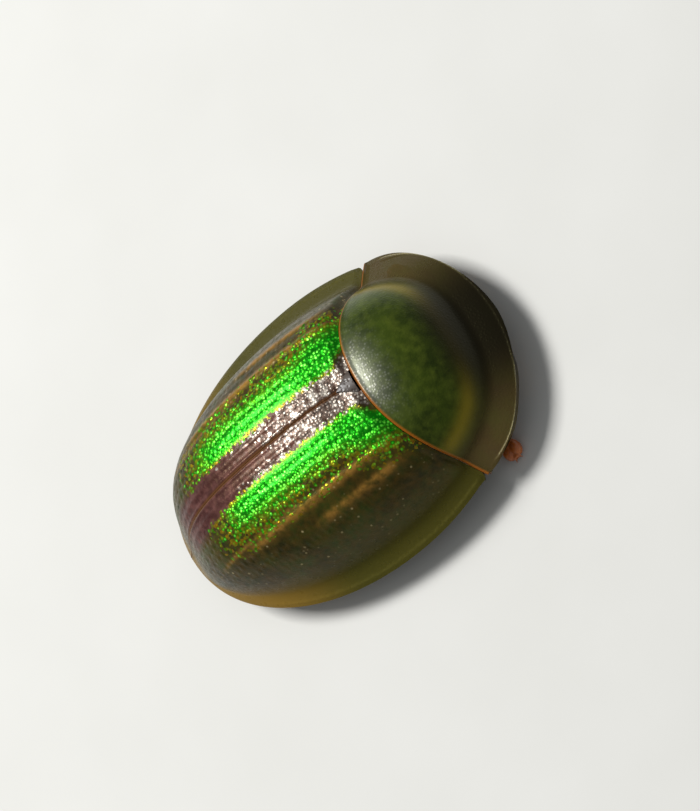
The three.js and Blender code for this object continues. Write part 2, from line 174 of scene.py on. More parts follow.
@dataclass(frozen=True)
class Bead:
    """A rounded bead at a distance from an edge, or a groove where its height is negative."""

    distance: float
    width: float
    height: float

    def profile(self, t: Values) -> Values:
        """The bead's height at a distance."""
        return self.height * swell(t, self.distance, self.width)


@dataclass(frozen=True)
class RowLine:
    """A bead that runs along the pit rows for a stretch of the body."""

    bead: Bead
    stretch: Stretch

    def profile(self, s: Array, y: Array) -> Array:
        """The line's height at a distance from the seam and a place along the body."""
        return self.bead.profile(s) * self.stretch.inside(y)


@dataclass(frozen=True)
class Patch:
    """A soft oval patch on each side of the middle plane."""

    x: float
    y: float
    x_width: float
    y_width: float
    strength: float

    def profile(self, x: Array, y: Array) -> Array:
        """The patch's strength at each place."""
        return self.strength * swell(np.abs(x), self.x, self.x_width) * swell(y, self.y, self.y_width)


@dataclass(frozen=True)
class Shell:
    """Plan and height of the wing cases and the shield, in millimetres, as in the solids."""

    length: float = 5.8
    half_width: float = 2.07
    height: float = 1.9
    gap: float = 0.04
    least_width: float = 0.001
    rim_height: float = 0.42
    rim_lift: float = 0.1
    rim_lowest_y: float = 0.3
    rim_lift_length: float = 2.4
    rim_lift_limit: float = 1.6
    widest_y: float = -0.14
    shoulder_y: float = -1.47
    shoulder_half_width: float = 1.845
    tail_roundness: float = 2.09
    tail_fall: float = 12
    margin_rise: float = 0.13
    margin_steepness: float = 6
    dome_width_share: float = 0.83
    dome_end_y: float = 2.8
    dome_fullness: float = 3
    dome_shape: float = 0.62
    dome_foot_bend: float = 0.1
    front_drop: float = 0.12
    front_drop_y: float = 0.1
    front_drop_length: float = 1.05
    shield_half_width: float = 1.83
    shield_corner_y: float = -1.53
    shield_rear_y: float = -1.03
    shield_rear_curve: float = 2.03
    shield_roundness: float = 1.8
    shield_dome_y: float = -1.05
    shield_dome_half_width: float = 1.5
    shield_dome_length: float = 1.36
    shield_dome_rise: float = 1.1
    shield_dome_across: float = 2.5
    shield_dome_along: float = 2
    shield_dome_shape: float = 0.68
    shield_margin_rise: float = 0.15
    shield_margin_steepness: float = 3
    scutellum_half_width: float = 0.17
    scutellum_length: float = 0.28

    @property
    def tail_y(self) -> float:
        """The rear end of the wing cases."""
        return self.length / 2

    def plan(self, y: Array) -> Array:
        """Half width of the wing cases.

        Args:
            y: Places along the body.

        Returns:
            The half width at each place, 0 from the tail on.
        """
        forward = (self.widest_y - y) / (self.widest_y - self.shoulder_y)
        front = self.half_width - (self.half_width - self.shoulder_half_width) * forward * forward
        back = np.clip((y - self.widest_y) / (self.tail_y - self.widest_y), 0, 1)
        rear = self.half_width * (1 - back**self.tail_roundness) ** (1 / self.tail_roundness)
        return np.where(y <= self.widest_y, front, rear)

    def rim(self, y: Values) -> Values:
        """Height of the rim, lowest near mid length and lifted towards both ends."""
        lift = ((y - self.rim_lowest_y) / self.rim_lift_length) ** 2
        return self.rim_height + self.rim_lift * np.minimum(self.rim_lift_limit, lift)

    def dome_parts(self, x: Array, y: Array) -> tuple[Array, Array]:
        """How far a place lies inside the dome of the wing cases.

        Args:
            x: Places across the body.
            y: Places along it.

        Returns:
            Two shares, across and along, each 1 at the middle and 0 at the dome's foot.
        """
        foot = np.maximum(self.plan(y), self.least_width) * self.dome_width_share
        across = 1 - (np.abs(x) / foot) ** self.dome_fullness
        along = 1 - (np.maximum(y, 0) / self.dome_end_y) ** self.dome_fullness
        return across, along

    def dome_rise(self, t: Array) -> Array:
        """Rounded form of max(t, 0) that reaches 1 at t = 1."""
        return soft_positive(t, self.dome_foot_bend) / soft_positive(1.0, self.dome_foot_bend)

    def case_height(self, x: Array, y: Array) -> Array:
        """Outer surface of the wing cases.

        Args:
            x: Places across the body.
            y: Places along it.

        Returns:
            The height at each place.
        """
        across, along = self.dome_parts(x, y)
        tail = 1 - np.minimum(1, np.maximum(y, 0) / self.tail_y) ** self.tail_fall
        inside = self.dome_rise(across) * self.dome_rise(along) * tail
        forward = np.maximum(self.front_drop_y - y, 0) / self.front_drop_length
        rise = (self.height - self.rim_height - self.margin_rise) * (1 - self.front_drop * forward**2)
        width = np.maximum(self.plan(y), self.least_width)
        edge = 1 - np.minimum(1, np.abs(x) / width) ** self.margin_steepness
        return self.rim(y) + self.margin_rise * edge * tail + rise * inside**self.dome_shape

    def shield_rear(self, x: Array) -> Array:
        """Rear edge of the shield, which the wing cases follow."""
        t = np.minimum(1, np.abs(x) / self.shield_half_width)
        return self.shield_rear_y + (self.shield_corner_y - self.shield_rear_y) * t**self.shield_rear_curve

    def shield_front(self, x: Array) -> Array:
        """Front edge of the shield.

        Args:
            x: Places across the body.

        Returns:
            The edge's y at each place.
        """
        t = np.minimum(1, np.abs(x) / self.shield_half_width)
        reach = self.tail_y + self.shield_corner_y
        bend = (1 - t**self.shield_roundness) ** (1 / self.shield_roundness)
        return self.shield_corner_y - reach * bend

    def shield_inside(self, x: Array, y: Array) -> Array:
        """How far a place lies inside the shield's dome.

        Args:
            x: Places across the body.
            y: Places along it.

        Returns:
            One at the dome's top, 0 at its foot and less outside.
        """
        across = (np.abs(x) / self.shield_dome_half_width) ** self.shield_dome_across
        along = (np.maximum(0, self.shield_dome_y - y) / self.shield_dome_length) ** self.shield_dome_along
        return 1 - across - along

    def shield_edge(self, x: Array, y: Array) -> Array:
        """How near a place is to the shield's outer edge, 1 on the edge."""
        reach = np.maximum(0, self.shield_corner_y - y) / (self.tail_y + self.shield_corner_y)
        return np.minimum(1, (np.abs(x) / self.shield_half_width) ** 2 + reach**2)

    def shield_height(self, x: Array, y: Array) -> Array:
        """Outer surface of the shield.

        Args:
            x: Places across the body.
            y: Places along it.

        Returns:
            The height at each place.
        """
        dome = self.dome_rise(self.shield_inside(x, y)) ** self.shield_dome_shape
        flat = self.shield_margin_rise * (1 - self.shield_edge(x, y) ** self.shield_margin_steepness)
        return self.rim(self.shield_corner_y) + flat + self.shield_dome_rise * dome

    def seam_edge(self, y: Array, opening: float) -> Array:
        """Inner edge of a wing case: the seam, opened at the front for the scutellum.

        Args:
            y: Places along the body.
            opening: The width of the gap at the seam.

        Returns:
            The edge's distance from the middle plane.
        """
        widest = self.scutellum_half_width + opening
        along = (y - self.shield_rear_y - self.gap) / (self.scutellum_length + opening)
        return np.maximum(opening / 2, np.minimum(widest, widest * (1 - along)))


SHELL = Shell()


def feed(tree: Tree, node: bpy.types.Node, inputs: dict[str | int, object]) -> None:
    """Feed a node's inputs, by a link from a socket or by a value of their own.

    Args:
        tree: The material's node tree.
        node: The node.
        inputs: For each input, by name or number, the socket or the value that feeds it.
    """
    for key, value in inputs.items():
        if isinstance(value, bpy.types.NodeSocket):
            tree.links.new(value, node.inputs[key])
        else:
            node.inputs[key].default_value = value


def add_node(tree: Tree, kind: str, inputs: dict[str | int, object], **settings: object) -> bpy.types.Node:
    """Add one node to a material.

    Args:
        tree: The material's node tree.
        kind: Blender's name of the node's type.
        inputs: For each input, by name or number, the socket or the value that feeds it.
        settings: Properties set on the node itself.

    Returns:
        The new node.
    """
    node = tree.nodes.new(kind)
    for key, value in settings.items():
        setattr(node, key, value)
    feed(tree, node, inputs)
    return node


@dataclass(frozen=True)
class Remap:
    """A range of values spread over another one."""

    low: float = 0.0
    high: float = 1.0
    least: float = 0.0
    most: float = 1.0

    def of(self, value: Socket) -> dict[str, object]:
        """Inputs of a map range node that spreads a socket's values."""
        ends = {"From Min": self.low, "From Max": self.high, "To Min": self.least, "To Max": self.most}
        return {"Value": value, **ends}


@dataclass(frozen=True)
class Mottling:
    """Soft uneven tones with patches of about the given size in millimetres."""

    size_mm: float
    detail: float
    roughness: float = 0.5

    def at(self, place: Socket) -> dict[str, object]:
        """Inputs of a noise node, for a place in millimetres."""
        tone = {"Detail": self.detail, "Roughness": self.roughness}
        return {"Vector": place, "Scale": 1 / self.size_mm, **tone}


@dataclass(frozen=True)
class Layer:
    """One colour laid over the ones below where its mask is high."""

    mask: Socket
    colour: Socket | Colour


def layered(tree: Tree, ground: Socket | Colour, layers: Sequence[Layer]) -> Socket:
    """Lay colours over a ground, each by its own mask.

    Args:
        tree: The material's node tree.
        ground: The lowest colour.
        layers: The colours from the lowest to the highest.

    Returns:
        The socket that holds the result.
    """
    result = ground
    for layer in layers:
        inputs = {MIX_SHARE: layer.mask, MIX_BELOW: result, MIX_ABOVE: layer.colour}
        result = add_node(tree, "ShaderNodeMix", inputs, data_type="RGBA").outputs[MIX_RESULT]
    return result


@dataclass(frozen=True)
class Blank:
    """A new material with one glossy shader and coordinates in millimetres."""

    material: Material
    tree: Tree
    shader: bpy.types.Node
    place: Socket

    @classmethod
    def named(cls, name: str) -> "Blank":
        """Start a material.

        Args:
            name: The material's name.

        Returns:
            The material with its tree, its shader and the socket of its place in millimetres.
        """
        material = bpy.data.materials.new(name)
        material.use_nodes = True
        tree = material.node_tree
        shader = next(n for n in tree.nodes if n.type == "BSDF_PRINCIPLED")
        place = add_node(tree, "ShaderNodeTexCoord", {}).outputs["Object"]
        mapping = add_node(tree, "ShaderNodeMapping", {"Vector": place, "Scale": (1 / METRES,) * 3})
        return cls(material, tree, shader, mapping.outputs["Vector"])

    def masks(self, names: Sequence[str]) -> dict[str, Socket]:
        """Read the masks that the mesh holds.

        Args:
            names: The names of the masks.

        Returns:
            The socket of each mask.
        """
        return {
            name: add_node(self.tree, "ShaderNodeAttribute", {}, attribute_name=name).outputs["Fac"]
            for name in names
        }


@dataclass(frozen=True)
class GrainSockets:
    """What the grains offer to a finish: two draws per grain, its core and its painted glint."""

    draw: Socket
    second_draw: Socket
    core: Socket
    painted_glint: Socket
    edge: Remap = Remap(-0.3, 0.0)
    least_mask: float = 0.02

    def beaded(self, tree: Tree, mask: Socket) -> Socket:
        """Break a mask's soft edge into whole grains.

        Args:
            tree: The material's node tree.
            mask: The mask with a soft edge.

        Returns:
            The mask made of grains, none of them where the mask is near 0.
        """
        over = add_node(tree, "ShaderNodeMath", {0: mask, 1: self.draw}, operation="SUBTRACT")
        step = add_node(tree, "ShaderNodeMapRange", self.edge.of(over.outputs[0]))
        inside = add_node(tree, "ShaderNodeMath", {0: mask, 1: self.least_mask}, operation="GREATER_THAN")
        both = {0: step.outputs[0], 1: inside.outputs[0]}
        return add_node(tree, "ShaderNodeMath", both, operation="MULTIPLY").outputs[0]


@dataclass(frozen=True)
class Grain:
    """Tiny flat grains in the skin, each with its own tone, some painted lighter as glints that sparkle one
    by one.
    """

    size_mm: float
    core: Remap = Remap(0.55, 0.1)

    def build(self, tree: Tree, place: Socket) -> GrainSockets:
        """Draw the grains.

        Args:
            tree: The material's node tree.
            place: The place in millimetres.

        Returns:
            The sockets that tell one grain from the next.
        """
        cells = add_node(tree, "ShaderNodeTexVoronoi", {"Vector": place, "Scale": 1 / self.size_mm})
        tones = add_node(tree, "ShaderNodeSeparateColor", {0: cells.outputs["Color"]}).outputs
        core = add_node(tree, "ShaderNodeMapRange", self.core.of(cells.outputs["Distance"])).outputs[0]
        painted_glint = add_node(tree, "ShaderNodeMath", {0: core, 1: tones[1]}, operation="MULTIPLY")
        return GrainSockets(tones[0], tones[2], core, painted_glint.outputs[0])


@dataclass(frozen=True)
class WingCaseFinish:
    """Hardened wing-case skin: clear lacquer-like cuticle over metallic and brown layers.

    The eye sees a wet gloss, a sparkling emerald stripe made of tiny reflecting grains with painted glints
    among them, a silvery to mauve band along the seam with a painted highlight at its front, painted shade
    in the hollows beside the scutellum, golden ridges and a clear olive margin.
    """

    name: str = "wing_case_cuticle"
    side_dark: str = "#23230c"
    side_brown: str = "#4f3a14"
    side_green: str = "#2f3a12"
    ridge: str = "#9a7030"
    margin: str = "#4a4618"
    margin_rear: str = "#86692a"
    green_deep: str = "#04780a"
    green: str = "#0fd212"
    # Painted glints: the lighter green laid on some grains.
    green_light: str = "#86ff55"
    gold_grain: str = "#876a12"
    speck: str = "#b3a277"
    # Near white of the painted highlight and glints in the silvery zone.
    silver_and_highlight: str = "#e6dfd0"
    silver_pink: str = "#8c7c72"
    silver_brown: str = "#3d2c25"
    mauve: str = "#422423"
    mauve_light: str = "#5e3a37"
    # Painted shade in the hollows beside the scutellum.
    hollow: str = "#241a12"
    seam: str = "#664226"
    sheen: str = "#a39a5c"
    # The real layers are too fine to show, so the grains are drawn coarser than they are.
    grain: Grain = Grain(0.045)
    cloud: Mottling = Mottling(0.4167, 5.0, 0.6)
    fleck: Mottling = Mottling(0.1111, 3.0)
    skin: Mottling = Mottling(0.0333, 3.0)
    skin_depth_mm: float = 0.01
    skin_strength: float = 0.4
    patches: Remap = Remap(0.4, 0.62)
    spots: Remap = Remap(0.42, 0.66)
    warmth: Remap = Remap(0.3, 0.8, most=0.8)
    glints: Remap = Remap(0.54, 0.7, most=0.85)
    specks: Remap = Remap(0.965, 1.0, most=0.8)
    gold_share: Remap = Remap(1.0, 0.45, 0.0, 1.1)
    ridge_breaks: Remap = Remap(0.35, 0.6, 0.35, 1.0)
    metallic: Remap = Remap(least=0.15, most=0.6)
    roughness: Remap = Remap(least=0.26, most=0.46)
    opacity: Remap = Remap(least=1.0, most=0.87)
    gloss: float = 0.35
    coat: float = 0.07
    coat_roughness: float = 0.16

    def emerald(self, tree: Tree, grain: GrainSockets, stripe: Socket) -> Socket:
        """Green grains, with gold ones among them where the stripe runs out.

        Args:
            tree: The material's node tree.
            grain: The grains.
            stripe: The stripe's mask.

        Returns:
            The stripe's colour.
        """
        thin = add_node(tree, "ShaderNodeMapRange", self.gold_share.of(stripe)).outputs[0]
        gold = add_node(tree, "ShaderNodeMath", {0: thin, 1: grain.second_draw}, operation="MULTIPLY")
        return layered(
            tree,
            hex_colour(self.green_deep),
            [
                Layer(grain.core, hex_colour(self.green)),
                # Painted glints: some grains laid lighter, as if they caught the light.
                Layer(grain.painted_glint, hex_colour(self.green_light)),
                Layer(gold.outputs[0], hex_colour(self.gold_grain)),
            ],
        )

    def flank(self, tree: Tree, grain: GrainSockets, cloud: Socket, fleck: Socket) -> Socket:
        """Dark mottled skin between the stripe and the margin, with a few pale specks.

        Args:
            tree: The material's node tree.
            grain: The grains.
            cloud: The broad mottling.
            fleck: The fine mottling.

        Returns:
            The flank's colour.
        """
        patches = add_node(tree, "ShaderNodeMapRange", self.patches.of(cloud)).outputs[0]
        warm = add_node(tree, "ShaderNodeMapRange", self.warmth.of(fleck)).outputs[0]
        few = add_node(tree, "ShaderNodeMapRange", self.specks.of(grain.second_draw)).outputs[0]
        speck = add_node(tree, "ShaderNodeMath", {0: few, 1: grain.core}, operation="MULTIPLY")
        return layered(
            tree,
            hex_colour(self.side_dark),
            [
                Layer(patches, hex_colour(self.side_green)),
                Layer(warm, hex_colour(self.side_brown)),
                Layer(speck.outputs[0], hex_colour(self.speck)),
            ],
        )

    def silvery(self, tree: Tree, grain: GrainSockets, fleck: Socket) -> Socket:
        """Silvery colour beside the seam: brown and pink, with pale blotches and sparks over them as a
        painted highlight.

        Args:
            tree: The material's node tree.
            grain: The grains.
            fleck: The fine mottling.

        Returns:
            The silvery colour.
        """
        warm = add_node(tree, "ShaderNodeMapRange", self.warmth.of(fleck)).outputs[0]
        glint = add_node(tree, "ShaderNodeMapRange", self.glints.of(fleck)).outputs[0]
        return layered(
            tree,
            hex_colour(self.silver_brown),
            [
                Layer(warm, hex_colour(self.silver_pink)),
                # Painted highlight: pale blotches and glints of light over the silvery colour.
                Layer(glint, hex_colour(self.silver_and_highlight)),
                Layer(grain.painted_glint, hex_colour(self.silver_and_highlight)),
            ],
        )

    def build(self) -> Material:
        """Make the material from masks held on the mesh and grains drawn in millimetres.

        Returns:
            The material.
        """
        blank = Blank.named(self.name)
        tree = blank.tree
        names = ("green", "silver_and_highlight", "mauve", "ridge", "margin", "rear", "hollow", "seam")
        mask = blank.masks(names)
        grain = self.grain.build(tree, blank.place)
        cloud = add_node(tree, "ShaderNodeTexNoise", self.cloud.at(blank.place)).outputs[0]
        fleck = add_node(tree, "ShaderNodeTexNoise", self.fleck.at(blank.place)).outputs[0]
        skin = add_node(tree, "ShaderNodeTexNoise", self.skin.at(blank.place)).outputs[0]
        green = grain.beaded(tree, mask["green"])
        silver_and_highlight = grain.beaded(tree, mask["silver_and_highlight"])
        breaks = add_node(tree, "ShaderNodeMapRange", self.ridge_breaks.of(fleck)).outputs[0]
        ridge = add_node(tree, "ShaderNodeMath", {0: mask["ridge"], 1: breaks}, operation="MULTIPLY")
        margin = layered(tree, hex_colour(self.margin), [Layer(mask["rear"], hex_colour(self.margin_rear))])
        spots = add_node(tree, "ShaderNodeMapRange", self.spots.of(fleck)).outputs[0]
        mauve = layered(tree, hex_colour(self.mauve), [Layer(spots, hex_colour(self.mauve_light))])
        colour = layered(
            tree,
            self.flank(tree, grain, cloud, fleck),
            [
                Layer(mask["margin"], margin),
                Layer(ridge.outputs[0], hex_colour(self.ridge)),
                Layer(mask["mauve"], mauve),
                Layer(silver_and_highlight, self.silvery(tree, grain, fleck)),
                Layer(green, self.emerald(tree, grain, mask["green"])),
                # Painted shade in the hollows beside the scutellum.
                Layer(mask["hollow"], hex_colour(self.hollow)),
                Layer(mask["seam"], hex_colour(self.seam)),
            ],
        )
        shiny = add_node(tree, "ShaderNodeMath", {0: green, 1: silver_and_highlight}, operation="MAXIMUM").outputs[0]
        facet = add_node(tree, "ShaderNodeMath", {0: grain.core, 1: shiny}, operation="MULTIPLY").outputs[0]
        height = add_node(tree, "ShaderNodeMath", {0: facet, 1: skin}, operation="ADD").outputs[0]
        relief = {"Height": height, "Strength": self.skin_strength, "Distance": self.skin_depth_mm * METRES}
        inputs = {
            "Base Color": colour,
            "Metallic": add_node(tree, "ShaderNodeMapRange", self.metallic.of(shiny)).outputs[0],
            "Roughness": add_node(tree, "ShaderNodeMapRange", self.roughness.of(grain.draw)).outputs[0],
            "Normal": add_node(tree, "ShaderNodeBump", relief).outputs[0],
            "Alpha": add_node(tree, "ShaderNodeMapRange", self.opacity.of(mask["margin"])).outputs[0],
            "Specular IOR Level": self.gloss,
            "Specular Tint": hex_colour(self.sheen),
            "Coat Weight": self.coat,
            "Coat Roughness": self.coat_roughness,
        }
        feed(tree, blank.shader, inputs)
        return blank.material


@dataclass(frozen=True)
class ShieldFinish:
    """Shield skin: green dome with a soft silvery painted highlight at the rear and a clear olive margin.

    The eye sees deep mottled green in the middle, a golden ring where the dome meets the margin, painted
    shade in front for the dark head seen through the shield and the shadow beneath it, and a fine orange
    line along the rear.
    """

    name: str = "shield_cuticle"
    disc: str = "#3d4c12"
    disc_dark: str = "#182408"
    disc_light: str = "#56621e"
    ring: str = "#80701a"
    margin: str = "#4a4520"
    margin_pink: str = "#4b3a24"
    # Painted shade: near black over the front, for the head seen through the shield and the shadow beneath
    # it.
    shadow: str = "#0d0a06"
    sheen: str = "#a8a468"
    # Painted highlight: pale silvery colour where the lamp's reflection lies on the rear of the dome.
    bloom: str = "#d6d4cc"
    rear_line: str = "#9c5a1c"
    # Coarser than the real layers, so that the painted highlight shows its grain.
    grain: Grain = Grain(0.04)
    cloud: Mottling = Mottling(0.5263, 5.0, 0.6)
    fleck: Mottling = Mottling(0.125, 4.0)
    skin: Mottling = Mottling(0.0294, 3.0)
    skin_depth_mm: float = 0.008
    skin_strength: float = 0.22
    patches: Remap = Remap(0.25, 0.75)
    spots: Remap = Remap(0.4, 0.85, most=0.6)
    shimmer: Remap = Remap(0.0, 0.7, 0.35, 1.0)
    metallic: Remap = Remap(least=0.05, most=0.4)
    roughness: Remap = Remap(least=0.3, most=0.44)
    opacity: Remap = Remap(least=1.0, most=0.84)
    gloss: float = 0.3
    coat: float = 0.09
    coat_roughness: float = 0.2

    def disc_colour(self, tree: Tree, patches: Socket, place: Socket) -> Socket:
        """Mottled green of the dome.

        Args:
            tree: The material's node tree.
            patches: The mask of the broad patches.
            place: The place in millimetres.

        Returns:
            The dome's colour.
        """
        fleck = add_node(tree, "ShaderNodeTexNoise", self.fleck.at(place)).outputs[0]
        spots = add_node(tree, "ShaderNodeMapRange", self.spots.of(fleck)).outputs[0]
        layers = [Layer(patches, hex_colour(self.disc)), Layer(spots, hex_colour(self.disc_light))]
        return layered(tree, hex_colour(self.disc_dark), layers)

    def build(self) -> Material:
        """Make the material from masks held on the mesh and grains drawn in millimetres.

        Returns:
            The material.
        """
        blank = Blank.named(self.name)
        tree = blank.tree
        mask = blank.masks(("margin", "ring", "bloom", "line", "shadow"))
        grain = self.grain.build(tree, blank.place)
        cloud = add_node(tree, "ShaderNodeTexNoise", self.cloud.at(blank.place)).outputs[0]
        skin = add_node(tree, "ShaderNodeTexNoise", self.skin.at(blank.place)).outputs[0]
        patches = add_node(tree, "ShaderNodeMapRange", self.patches.of(cloud)).outputs[0]
        shimmer = add_node(tree, "ShaderNodeMapRange", self.shimmer.of(grain.painted_glint)).outputs[0]
        bloom = add_node(tree, "ShaderNodeMath", {0: mask["bloom"], 1: shimmer}, operation="MULTIPLY")
        margin = layered(tree, hex_colour(self.margin), [Layer(patches, hex_colour(self.margin_pink))])
        colour = layered(
            tree,
            self.disc_colour(tree, patches, blank.place),
            [
                Layer(mask["margin"], margin),
                Layer(mask["ring"], hex_colour(self.ring)),
                # Painted shade over the front of the shield.
                Layer(mask["shadow"], hex_colour(self.shadow)),
                # Painted highlight at the rear of the dome.
                Layer(bloom.outputs[0], hex_colour(self.bloom)),
                Layer(mask["line"], hex_colour(self.rear_line)),
            ],
        )
        height = add_node(tree, "ShaderNodeMath", {0: grain.core, 1: skin}, operation="ADD").outputs[0]
        relief = {"Height": height, "Strength": self.skin_strength, "Distance": self.skin_depth_mm * METRES}
        open_margin = {0: mask["margin"], 1: mask["shadow"]}
        thin = add_node(tree, "ShaderNodeMath", open_margin, operation="SUBTRACT").outputs[0]
        inputs = {
            "Base Color": colour,
            "Metallic": add_node(tree, "ShaderNodeMapRange", self.metallic.of(mask["bloom"])).outputs[0],
            "Roughness": add_node(tree, "ShaderNodeMapRange", self.roughness.of(mask["bloom"])).outputs[0],
            "Normal": add_node(tree, "ShaderNodeBump", relief).outputs[0],
            "Alpha": add_node(tree, "ShaderNodeMapRange", self.opacity.of(thin)).outputs[0],
            "Specular IOR Level": self.gloss,
            "Specular Tint": hex_colour(self.sheen),
            "Coat Weight": self.coat,
            "Coat Roughness": self.coat_roughness,
        }
        feed(tree, blank.shader, inputs)
        return blank.material


@dataclass(frozen=True)
class PlainCuticleFinish:
    """Body skin in one family of tones, punctured and glossy."""

    name: str
    dark: str
    light: str
    mask: str = ""
    accent: str = "#000000"
    roughness: float = 0.32
    pit_mm: float = 0.06
    coat: float = 0.3
    cloud: Mottling = Mottling(0.25, 5.0)
    smoother: float = 0.08
    rougher: float = 0.12
    pit_depths: Remap = Remap(0.0, 0.45)
    pit_depth_mm: float = 0.01
    pit_strength: float = 0.45
    coat_roughness: float = 0.2

    def build(self) -> Material:
        """Make the material, with an accent where its mask is high.

        Returns:
            The material.
        """
        blank = Blank.named(self.name)
        tree = blank.tree
        cloud = add_node(tree, "ShaderNodeTexNoise", self.cloud.at(blank.place)).outputs[0]
        colour = layered(tree, hex_colour(self.dark), [Layer(cloud, hex_colour(self.light))])
        if self.mask:
            amount = blank.masks((self.mask,))[self.mask]
            colour = layered(tree, colour, [Layer(amount, hex_colour(self.accent))])
        rough = Remap(least=self.roughness - self.smoother, most=self.roughness + self.rougher)
        cells = add_node(tree, "ShaderNodeTexVoronoi", {"Vector": blank.place, "Scale": 1 / self.pit_mm})
        pits = add_node(tree, "ShaderNodeMapRange", self.pit_depths.of(cells.outputs["Distance"])).outputs[0]
        relief = {"Height": pits, "Strength": self.pit_strength, "Distance": self.pit_depth_mm * METRES}
        inputs = {
            "Base Color": colour,
            "Roughness": add_node(tree, "ShaderNodeMapRange", rough.of(cloud)).outputs[0],
            "Normal": add_node(tree, "ShaderNodeBump", relief).outputs[0],
            "Coat Weight": self.coat,
            "Coat Roughness": self.coat_roughness,
        }
        feed(tree, blank.shader, inputs)
        return blank.material


# Thick dark cuticle of the head and the underside: near black, with a dull pitted gloss.
BLACK = PlainCuticleFinish("black_cuticle", "#0d0b09", "#241c15")
# The same skin over the scutellum, thinner: dark brown with paler clouds.
SCUTELLUM = PlainCuticleFinish("scutellum_cuticle", "#1f1813", "#54473c")
# The same skin on the abdomen, whose thin rim lets a yellowish brown through.
ABDOMEN = PlainCuticleFinish("abdomen_cuticle", "#14100c", "#2d2118", "edge", "#8a6a2c")
# Clear lenses over black: wet gloss, and facets as fine pits.
EYE = PlainCuticleFinish("eye_facets", "#050506", "#101114", roughness=0.14, pit_mm=0.022, coat=0.8)
# Thin tanned cuticle of the jaws and palps: warm brown gloss.
MOUTH = PlainCuticleFinish("mouth_cuticle", "#5a3a16", "#8a5a22")
# Thin cuticle of the feelers: honey yellow, brown towards the tip.
FEELER = PlainCuticleFinish("feeler_cuticle", "#a8752a", "#cf9a48", "tip", "#3a2814")
# Tanned cuticle of the legs: reddish yellow gloss, dark at the hip.
LEG = PlainCuticleFinish("leg_cuticle", "#9c4818", "#c4702c", "root", "#2a160c")


